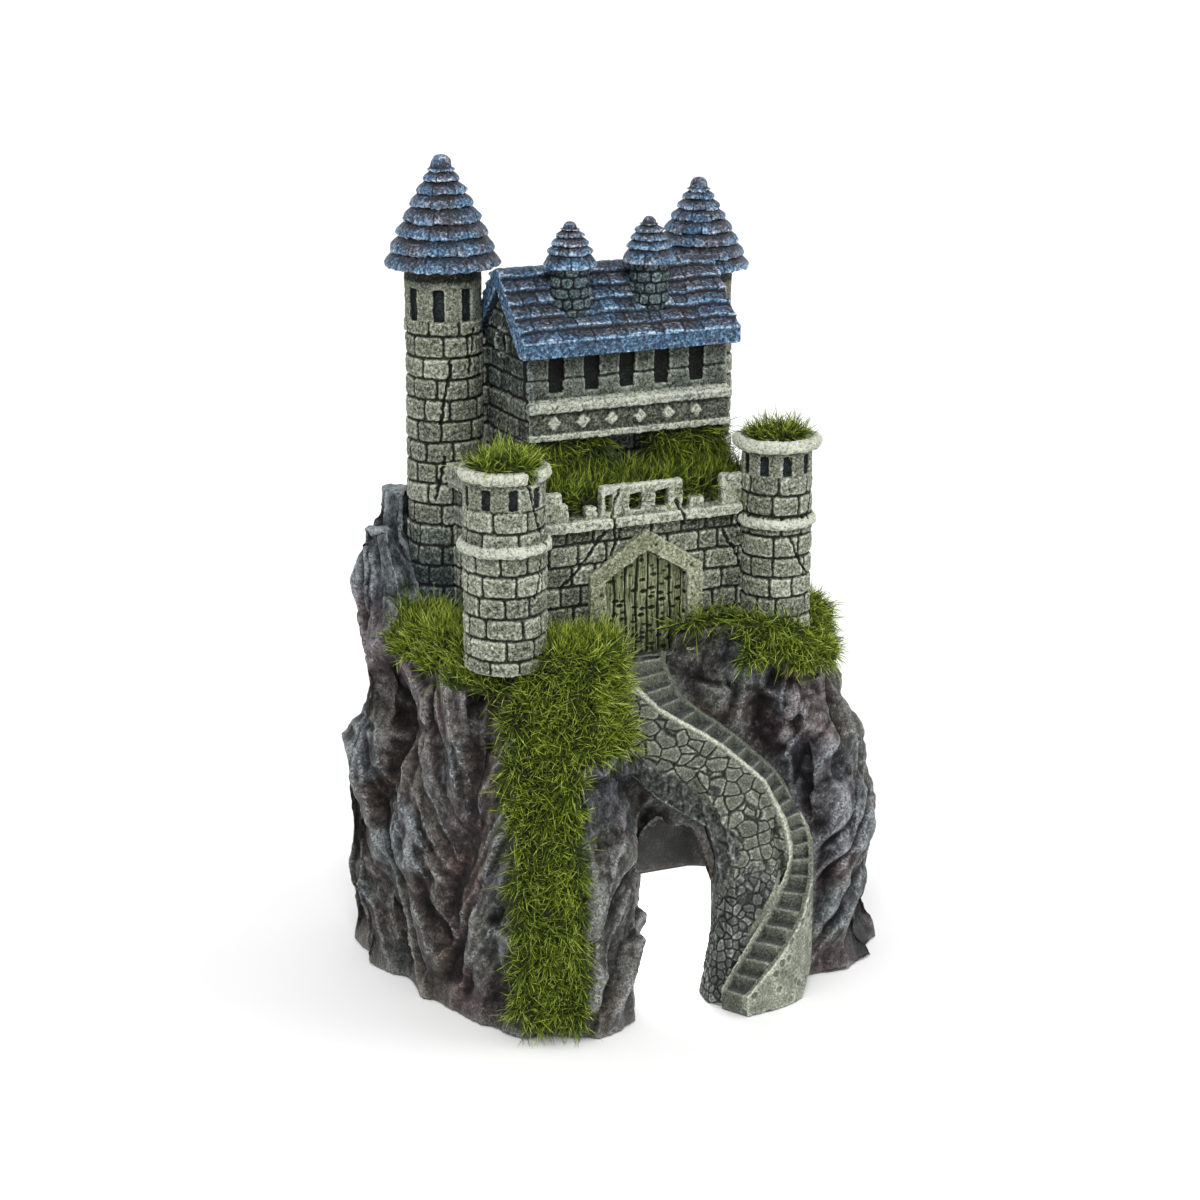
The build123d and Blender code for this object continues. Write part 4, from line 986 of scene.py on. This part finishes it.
def stairs():
    c = skin(["staircase"], 0.3, relax=1)
    p = c.co.copy()
    n0 = c.no.copy()
    away, beyond = from_line(p, COPE)
    outer = smooth(-1.0, -0.4, beyond)
    side = 1 - smooth(0.35, 0.75, np.abs(n0[:, 2]))
    warp = np.stack([noise(p * 0.25, 301), noise(p * 0.25, 302), noise(p * 0.25, 303)], 1)
    _, gap, mark = cells(p / (3.9, 3.9, 3.3) + 0.16 * warp, 304, 0.7)
    _, gap_2, mark_2 = cells(p / 2.1 + 0.2 * warp, 314, 0.9)
    band = away + 1.3 * noise(p * 0.2, 308)
    low = 1 - smooth(26, 36, p[:, 2])
    wall = outer * side
    cobbled = wall * (1 - smooth(11.5, 13.5, band)) * smooth(0.9, 1.5, away) * (1 - low)
    bubbly = wall * low * (1 - smooth(10, 14, band)) * smooth(0.9, 1.5, away)
    loose = wall * smooth(11.5, 14, band)
    groove = (1 - smooth(0.03, 0.34, gap * 3.7)) * cobbled
    groove_2 = (1 - smooth(0.05, 0.4, gap_2 * 2.1)) * bubbly
    flank = (1 - outer) * smooth(5.0, 6.5, -beyond) * side * (1 - smooth(40, 50, p[:, 2]))
    c.push(
        cobbled * (-0.35 * (1 - smooth(0.1, 0.6, gap * 3.7)) + 0.2 * (mark - 0.5) + 0.15)
        + bubbly * (-0.25 * (1 - smooth(0.1, 0.5, gap_2 * 2.1)) + 0.3 * (mark_2 - 0.5))
        + 0.06 * fbm(p * 0.6, 3, 305) + 0.04 * fbm(p * 1.8, 2, 306)
        + loose * 1.0 * fbm(p * (0.3, 0.3, 0.2), 3, 309)
        - flank * 0.3 * (1 - smooth(0.15, 0.35, cells(p * 0.3, 316)[0]))
    )
    near_hollow, wide = c.hollow(2), c.hollow(12)
    inner = (1 - outer) * (1 - flank)
    light = (0.5 + 0.07 * (mark - 0.5) * cobbled - 0.26 * groove
             + bubbly * (0.16 * (mark_2 - 0.5) - 0.18 * groove_2 - 0.06) - 0.04 * cobbled)
    light = light - 2.0 * np.clip(near_hollow, -0.14, 0.2) - (0.55 - 0.25 * inner) * np.clip(wide, -0.5, 0.9)
    # painted shade on faces that look down, and on the steps' faces that don't look up, under each nosing
    light = (light - 0.22 * smooth(0.3, 0.8, -n0[:, 2]) - 0.14 * loose
             - 0.1 * inner * (1 - smooth(0.5, 0.9, n0[:, 2])))
    light = light + 0.2 * (1 - smooth(0.5, 1.3, away)) + flank * (0.12 + 0.12 * noise(p * 0.3, 317))
    c.paint["light"] = light
    c.paint["cold"] = np.clip(0.5 * loose + 0.5 * bubbly + 0.6 * inner * smooth(0.6, 0.9, n0[:, 2]), 0, 1)
    c.piece("staircase", STAIR, ["staircase"], "stair_stone")


# ------------------------------------------------------------------ rock
# the crags' long ridges and clefts: (mm across the front as it is seen a little from the left, height) points.
# Not worked out from the frame: most of these points were read off the photo. A scratch program printed most
# of these points from places picked on the photo, which the order doesn't allow. A rule should take their
# place.
RIDGES = [
    [(-41, 88), (-38, 72), (-35, 58), (-36, 50)],
    [(-43, 78), (-39, 65), (-37, 54)],
    [(-47, 67), (-44, 55), (-39, 38)],
    [(-45, 88), (-48, 78), (-46, 70)],
    [(-50, 60), (-45, 44), (-41, 36)],
    [(-52, 55), (-47, 41), (-42, 33)],
    [(-55, 47), (-52, 41), (-50, 30), (-44, 13)],
    [(-56, 40), (-58, 32), (-59, 28)],
    [(-54, 47), (-49, 39), (-43, 26), (-39, 19)],
    [(-63, 61), (-61, 51), (-59, 39)],
    [(-59, 62), (-57, 53), (-54, 47)],
    [(-51, 91), (-57, 83), (-59, 77)],
    [(-23, 73), (-29, 62), (-33, 54)],
    [(-25, 57), (-31, 46), (-36, 36), (-38, 17)],
    [(-25, 52), (-30, 42), (-33, 32), (-36, 12)],
    [(-28, 27), (-33, 20), (-35, 12)],
    [(1, 48), (-6, 33), (-8, 20)],
    [(3, 36), (-3, 25), (-6, 10)],
    [(4, 22), (0, 14), (-3, 1)],
    [(44, 48), (48, 55), (53, 59), (57, 54), (59, 45), (61, 34)],
    [(53, 50), (51, 42), (46, 33)],
    [(57, 48), (55, 38), (51, 33)],
    [(60, 41), (57, 33), (53, 28)],
    [(61, 31), (55, 23), (47, 12)],
    [(60, 26), (55, 15), (46, 5)],
    [(42, 71), (43, 62), (39, 55)],
    [(39, 74), (39, 62), (35, 57)],
    [(29, 80), (28, 68), (26, 61)],
    [(24, 74), (22, 64)],
]
CLEFTS = [
    [(-33, 66), (-35, 50), (-37, 38), (-39, 26), (-39, 10)],
    [(-55, 75), (-53, 66), (-50, 63), (-53, 54), (-57, 43)],
    [(-47, 29), (-40, 18)],
    [(45, 56), (42, 50), (44, 44), (46, 38)],
    [(33, 68), (34, 58)],
    [(60, 12), (61, 2)],
]
FRONT_TURN = math.radians(25)  # the crags are laid out as seen from this far round to the left


def beside(s, z, points):
    """Distance on the (s, z) plane from a line, and the share of the way along it."""
    nearest, share = np.full(len(s), 999.0), np.zeros(len(s))
    for k, ((s0, z0), (s1, z1)) in enumerate(zip(points, points[1:])):
        ds, dz = s1 - s0, z1 - z0
        t = np.clip(((s - s0) * ds + (z - z0) * dz) / (ds * ds + dz * dz), 0, 1)
        d = np.hypot(s - s0 - t * ds, z - z0 - t * dz)
        share = np.where(d < nearest, (k + t) / (len(points) - 1), share)
        nearest = np.minimum(nearest, d)
    return nearest, share


def rock():
    def calm(p, n):
        return np.maximum(cave_mask(p, n), (n[:, 2] > 0.95) * (p[:, 2] > SHELF - 4))

    foot = [(31.5, -30, 2), (33, -34, 2), (37, -36, 2), (42, -34, 2), (42, -26, 2), (32, -26, 2)]
    head = [(27, -23.5, 74), (29, -28, 74), (33, -31, 74), (38, -30.5, 74), (40, -26, 74), (30, -22, 74)]
    sides = [(i, (i + 1) % 6, 6 + (i + 1) % 6, 6 + i) for i in range(6)]
    buttress = (foot + head, sides + [(5, 4, 3, 2, 1, 0), (6, 7, 8, 9, 10, 11)])
    c = skin(["rock_base"], 0.66, extra=[buttress], relax=1, calm=calm, ratio=0.74)
    for _ in range(3):
        c.push(0.9 * np.clip(c.hollow(14) - 0.1, 0, 1.5) * (1 - cave_mask(c.co, c.no)))
    p = c.co.copy()
    n0 = c.spread(c.no, 6)
    stair = skin(["staircase"], 2.0, relax=0)
    tree = KDTree(len(stair.co))
    for i, v in enumerate(stair.co):
        tree.insert(v, i)
    tree.balance()
    reach = np.array([tree.find(v)[2] for v in p])
    bpy.data.meshes.remove(stair.mesh)
    inside = cave_mask(p, n0)
    top = smooth(0.7, 0.95, n0[:, 2]) * (p[:, 2] > SHELF - 6)
    free = (0.1 + 0.9 * smooth(0.5, 5.0, reach)) * (1 - 0.8 * inside) * (1 - 0.85 * top)
    free = free * (0.2 + 0.8 * smooth(0.5, 9.0, p[:, 2]))
    turn_s, turn_c = math.sin(FRONT_TURN), math.cos(FRONT_TURN)
    across, deep, z = p[:, 0] * turn_c - p[:, 1] * turn_s, p[:, 0] * turn_s + p[:, 1] * turn_c, p[:, 2]
    facing = smooth(0.0, 0.35, -n0[:, 0] * turn_s - n0[:, 1] * turn_c)
    facing = np.maximum(facing, smooth(0.3, 0.7, np.abs(n0[:, 0])) * (p[:, 1] < 0))

    # the strata lean down to the right on the left crags, and down to the left on the pier and right flank
    left = 1 - smooth(-40, -35, across + 0.1 * (60 - z))
    steep = smooth(8, 24, across) * smooth(46, 62, z)
    waver = np.stack([noise(p * 0.09, 421), noise(p * 0.09, 422), 0 * z], 1) * 1.4
    strata, ridge_line = [], []
    for lean, seed in ((0.42, 431), (-0.55, 441), (-0.14, 451)):
        q = np.stack([across + lean * z, deep, 0.17 * z], 1) + waver
        t = q[:, 0] / 12.5 + 1.1 * noise(q * (0.045, 0.045, 0.12), seed) + 0.1 * noise(p * 0.22, seed + 1)
        f = t - np.floor(t)
        slab = np.where(f < 0.68, f / 0.68, (1 - f) / 0.32) * (0.55 + 0.45 * hashed(np.floor(t), 3, 0, seed))
        slab = slab * np.clip(0.75 + 0.9 * noise(q * (0.05, 0.05, 0.2), seed + 2), 0.2, 1)
        ridge_line.append((1 - smooth(0.0, 0.05, np.abs(f - 0.68)))
                          * np.clip(0.35 + 1.3 * noise(q * (0.1, 0.1, 0.3), seed + 4), 0, 1))
        strata.append(0.88 * slab + 0.12 * ridges(q / 3.2, 3, seed + 3, 0.5))
    grain, edge_line = (left * f[0] + (1 - left) * ((1 - steep) * f[1] + steep * f[2])
                        for f in (strata, ridge_line))

    wobble_s = across + 0.7 * noise(p * 0.14, 461) + 0.3 * noise(p * 0.5, 462)
    wobble_z = z + 0.8 * noise(p * 0.14, 463)
    fold, line = np.full(len(p), -1.2), np.zeros(len(p))
    for k, points in enumerate(RIDGES):
        d, share = beside(wobble_s, wobble_z, points)
        tall = ((2.2 + 0.8 * hashed(k, 5)) * (0.35 + 0.65 * smooth(0, 0.15, share))
                * (1 - 0.25 * smooth(0.7, 1.0, share)))
        fold = np.maximum(fold, tall - 0.5 * d)
        line = np.maximum(line, (1 - smooth(0.1, 0.6, d)) * np.clip(0.65 + 0.6 * noise(p * 0.3, 464), 0, 1))
    cleft = np.zeros(len(p))
    for points in CLEFTS:
        cleft = np.maximum(cleft, np.exp(-((beside(wobble_s, wobble_z, points)[0] / 3.4) ** 2)))
    plum_block = bump_at(across, -51, 5.5) * bump_at(z, 78, 6.5) * facing
    _, _, mark = cells(np.stack([across * 0.075, deep * 0.075, z * 0.045], 1) + 0.1 * waver, 465)
    amount = 4.2 * (grain - 0.45) + 1.0 * fbm(p * 0.06, 2, 466) + 1.1 * (mark - 0.5) * (1 - facing)
    amount += facing * (fold - 2.8 * cleft) + 1.6 * plum_block
    c.push(free * amount)
    c.push(free * (0.16 * fbm(p * 0.6, 3, 467) + 0.5 * (ridges(p * (0.3, 0.3, 0.16), 2, 475) - 0.6)
                   * smooth(84, 92, z)))
    near, wide, broad = c.hollow(2), c.hollow(8), c.hollow(30)
    rubbed = smooth(0.6, 0.9, grain) * np.clip(0.4 + 0.9 * noise(p * 0.1, 468), 0, 1)
    c.paint["crest"] = np.clip(0.9 * facing * line + 0.75 * edge_line + 0.2 * rubbed
                               + np.clip(-near * 2.4 - 0.14, 0, 0.6), 0, 1) * (1 - inside)
    crag_top = smooth(86, 94, z) * (across < -30)
    light = (0.47 + 0.1 * crag_top - 1.0 * np.clip(near, -0.12, 0.25) - 0.26 * np.clip(wide, -0.4, 0.8)
             - 0.09 * np.clip(broad, -0.8, 1.6))
    # painted shade: the walls of the cave are made darker
    light = light + 0.04 * c.no[:, 2] + 0.05 * fbm(p * 0.05, 3, 469) - 0.36 * inside - 0.16 * cleft * facing
    c.paint["light"] = light
    c.paint["turn"] = left
    patch = fbm(p * 0.045, 3, 470)
    c.paint["plum"] = np.clip(0.5 * smooth(0.16, 0.5, patch + 0.12 * np.clip(broad, -1, 1)) + plum_block
                              + 0.3 * cleft * facing, 0, 0.85)
    c.paint["rust"] = np.clip(0.5 * cleft * facing * (z < 50)
                              + 0.4 * smooth(0.15, 0.5, fbm(p * 0.05 + 40, 3, 471)), 0, 0.8)
    c.paint["frost"] = np.clip(0.05 + 0.6 * crag_top + 0.3 * line
                               + 0.45 * smooth(0.15, 0.5, fbm(p * 0.045 + 80, 2, 472)),
                               0, 1) * (1 - 0.8 * inside)
    c.piece("rock_base", ROCK, ["rock_base"], "rock")


def cave_mask(p, n):
    """1 on the walls of the hollow, 0 on the outside."""
    lo, hi = box_mm("rock_base")
    cx, cy = (lo[0] + hi[0]) / 2, (lo[1] + hi[1]) / 2
    outward = (n[:, 0] * (p[:, 0] - cx) / (hi[0] - cx) + n[:, 1] * (p[:, 1] - cy) / (hi[1] - cy))
    inner = (((outward < -0.1) & (p[:, 2] < SHELF - 29))
             | ((n[:, 2] < -0.5) & (p[:, 2] > 40) & (p[:, 2] < SHELF - 26) & (p[:, 1] > -28)))
    return inner.astype(float)


# ------------------------------------------------------------------ moss
def moss_pad(node, facing, limit, density, length, seed, sag=0.6, lean=(0.0, 0.0, 0.0), tone=0.0, tuft=None):
    """A turf with curved flock fibres standing on the side that faces out."""
    rng = np.random.default_rng(seed)
    c = skin([node], 0.5, relax=3)
    p = c.co.copy()
    c.push(0.35 * fbm(p * 0.5, 3, seed) - 0.1)
    tri = triangles(c)
    a, b, d = c.co[tri[:, 0]], c.co[tri[:, 1]], c.co[tri[:, 2]]
    cross = np.cross(b - a, d - a)
    area = np.linalg.norm(cross, axis=1) / 2
    normal = cross / np.maximum(2 * area, 1e-9)[:, None]
    facing = np.array(facing) / np.linalg.norm(facing)
    chance = area * smooth(limit, limit + 0.25, normal @ facing)
    middle = (a + b + d) / 3
    chance = chance * (0.55 + 0.9 * smooth(-0.35, 0.3, noise(middle * 0.22, seed + 1)))
    count = int(chance.sum() * density * (1))
    pick = rng.choice(len(tri), count, p=chance / chance.sum())
    w = rng.random((count, 2))
    flip = w.sum(1) > 1
    w[flip] = 1 - w[flip]
    root = a[pick] + w[:, :1] * (b - a)[pick] + w[:, 1:] * (d - a)[pick]
    n = normal[pick]
    clump = np.stack([noise(root * 0.35, seed + k) for k in (2, 3, 4)], 1)
    way = n * 0.55 + clump * 0.8 + rng.normal(size=(count, 3)) * 0.5 + np.array(lean)
    way /= np.linalg.norm(way, axis=1)[:, None]
    into = (way * n).sum(1)
    way += n * np.maximum(0.22 - into, 0)[:, None]
    way /= np.linalg.norm(way, axis=1)[:, None]
    size = length * (0.5 + 0.7 * rng.random(count))
    if tuft is not None:
        size = size * (1 + 0.7 * np.exp(-((np.linalg.norm(root - np.array(tuft), axis=1) / 10.0) ** 2)))
    bend = rng.normal(size=(count, 3)) * 0.5 + clump * 0.4
    bend[:, 2] -= sag
    stages = np.array([0.0, 0.34, 0.68, 1.0])
    width = np.array([0.1, 0.1, 0.075, 0.0])
    side = np.cross(way, rng.normal(size=(count, 3)))
    side /= np.linalg.norm(side, axis=1)[:, None]
    other = np.cross(way, side)
    hue = rng.random(count)
    rings = []
    for t, r in zip(stages, width):
        middle = root + way * (size * t)[:, None] + bend * (size * 0.42 * t * t)[:, None] - n * 0.3 * (1 - t)
        if r == 0:
            rings.append(middle[:, None, :])
        else:
            turn = [0, 2 * math.pi / 3, 4 * math.pi / 3]
            rings.append(np.stack([middle + r * (side * math.cos(q) + other * math.sin(q)) for q in turn], 1))
    fibres = np.concatenate(rings, 1)  # ten points for each
    local = []
    for j in range(2):
        for q in range(3):
            w2 = (q + 1) % 3
            local.append((j * 3 + q, j * 3 + w2, (j + 1) * 3 + w2, (j + 1) * 3 + q))
    local += [(6, 7, 9), (7, 8, 9), (8, 6, 9), (2, 1, 0)]
    start = len(c.co)
    along = np.repeat(stages, [3, 3, 3, 1])
    shade = (0.86 * along[None, :] ** 0.9 * (0.45 + 1.0 * hue[:, None] ** 1.5) + 0.12 * (hue[:, None] - 0.5)
             + 0.12 * clump[:, :1] + tone)
    mesh = c.mesh
    turf_faces = [list(f.vertices) for f in mesh.polygons]
    offset = start + np.arange(count)[:, None] * 10
    fibre_faces = [tuple(row) for f in local for row in (offset + np.array(f)[None, :]).tolist()]
    made = mesh_from(np.vstack([c.co, fibres.reshape(-1, 3)]), turf_faces + fibre_faces)
    turf_light = np.clip(0.3 - 1.2 * np.clip(c.hollow(2), -0.2, 0.2)
                         + 0.25 * smooth(0.2, 0.7, noise(c.co * 0.4, seed + 6)), 0, 1)
    light = np.r_[turf_light, shade.ravel()]
    fibre = np.r_[np.zeros(start), np.ones(count * 10)]
    bpy.data.meshes.remove(mesh)
    for key, value in (("light", light), ("fibre", fibre)):
        layer = made.attributes.new(key, "FLOAT", "POINT")
        layer.data.foreach_set("value", np.clip(value, 0, 1).astype(np.float32))
    place(node, made, MOSS, [node])


def triangles(c):
    c.mesh.calc_loop_triangles()
    tri = np.zeros(len(c.mesh.loop_triangles) * 3, np.int32)
    c.mesh.loop_triangles.foreach_get("vertices", tri)
    return tri.reshape(-1, 3)


def moss():
    out = (0.0, -0.85, 0.5)
    moss_pad("strip_moss", out, 0.0, 5.0, 4.8, 501, sag=0.5, lean=(0.0, -0.1, 0.1))
    moss_pad("slope_moss", out, -0.1, 5.0, 5.0, 502, sag=0.3, lean=(0.0, -0.1, 0.15))
    moss_pad("left_ledge_moss", (-0.2, -0.5, 0.85), 0.0, 5.5, 5.0, 503, sag=0.1, lean=(0.3, 0.0, 0.6),
             tone=0.04, tuft=(-40, -34, 84))
    moss_pad("gate_moss", (0.0, -0.5, 0.85), 0.0, 5.5, 5.4, 504, sag=0.0, lean=(0.0, 0.1, 0.6))
    moss_pad("right_ledge_moss", (0.1, -0.5, 0.85), 0.0, 5.5, 4.6, 505, sag=0.7, lean=(-0.3, -0.2, 0.3),
             tone=0.04, tuft=(8, -27, 88))
    moss_pad("left_bastion_moss", (0, 0, 1), 0.3, 5.0, 5.0, 506, sag=0.25)
    moss_pad("right_bastion_moss", (0, 0, 1), 0.3, 5.0, 4.6, 507, sag=0.25)
    # the terrace moss and the hanging moss get a lower tone: painted shade behind the parapet and on moss that
    # hangs facing down
    moss_pad("terrace_moss", (0, -0.4, 0.9), 0.2, 5.0, 5.6, 508, sag=0.1, lean=(0.0, -0.1, 0.3), tone=-0.17)
    moss_pad("left_hanging_moss", (0, -0.9, -0.3), 0.1, 6.5, 5.0, 509, sag=0.9, tone=-0.1)
    moss_pad("right_hanging_moss", (0, -0.9, -0.3), 0.1, 6.5, 5.0, 510, sag=0.9, tone=-0.1)


# ------------------------------------------------------------------ stage
def stage():
    bm = bmesh.new()
    bmesh.ops.create_circle(bm, cap_ends=True, segments=96, radius=8.0)
    mesh = bpy.data.meshes.new("floor")
    bm.to_mesh(mesh)
    bm.free()
    floor = bpy.data.objects.new("floor", mesh)
    bpy.context.scene.collection.objects.link(floor)
    floor.location.z = -0.0003
    p = Paint("floor", roughness=0.9, specular=0.1)
    soft = p.noise(40.0, detail=2.0)
    mesh.materials.append(p.finish(p.ramp(p.math("MULTIPLY_ADD", soft, 0.05, 0.5),
                                          [(0.0, (244, 244, 244)), (1.0, (250, 250, 250))])))

    def sun(name, comes_from, strength, softness):
        data = bpy.data.lights.new(name, "SUN")
        data.energy, data.angle = strength, math.radians(softness)
        lamp = bpy.data.objects.new(name, data)
        lamp.rotation_euler = (-Vector(comes_from)).to_track_quat("-Z", "Y").to_euler()
        bpy.context.scene.collection.objects.link(lamp)

    sun("key", (-0.35, -0.75, 0.85), 1.5, 20)
    sun("fill", (0.9, -0.55, 0.5), 0.8, 35)
    lamp = bpy.data.lights.new("cave", "AREA")
    lamp.shape, lamp.size, lamp.energy, lamp.spread = "DISK", 0.04, 0.07, math.radians(110)
    inside = bpy.data.objects.new("cave", lamp)
    inside.location = (0.016, 0.008, 0.044)
    bpy.context.scene.collection.objects.link(inside)

    world = bpy.data.worlds.new("studio")
    world.use_nodes = True
    world.node_tree.nodes["Background"].inputs["Color"].default_value = (1, 1, 1, 1)
    world.node_tree.nodes["Background"].inputs["Strength"].default_value = 0.85
    bpy.context.scene.world = world
    bpy.context.scene.view_settings.view_transform = "Standard"

    data = bpy.data.cameras.new("camera")
    data.lens, data.sensor_width = 84.0, 36.0
    data.clip_start, data.clip_end = 0.01, 50
    camera = bpy.data.objects.new("camera", data)
    camera.location = (-0.2769, -0.5819, 0.2746)
    camera.rotation_euler = (math.radians(74), 0, math.radians(-25))
    bpy.context.scene.collection.objects.link(camera)
    bpy.context.scene.camera = camera


bastions()
towers()
dormers()
front_wall()
gate()
back_walls()
hall_block()
roofs()
saddle_roof()
stairs()
rock()
moss()
stage()
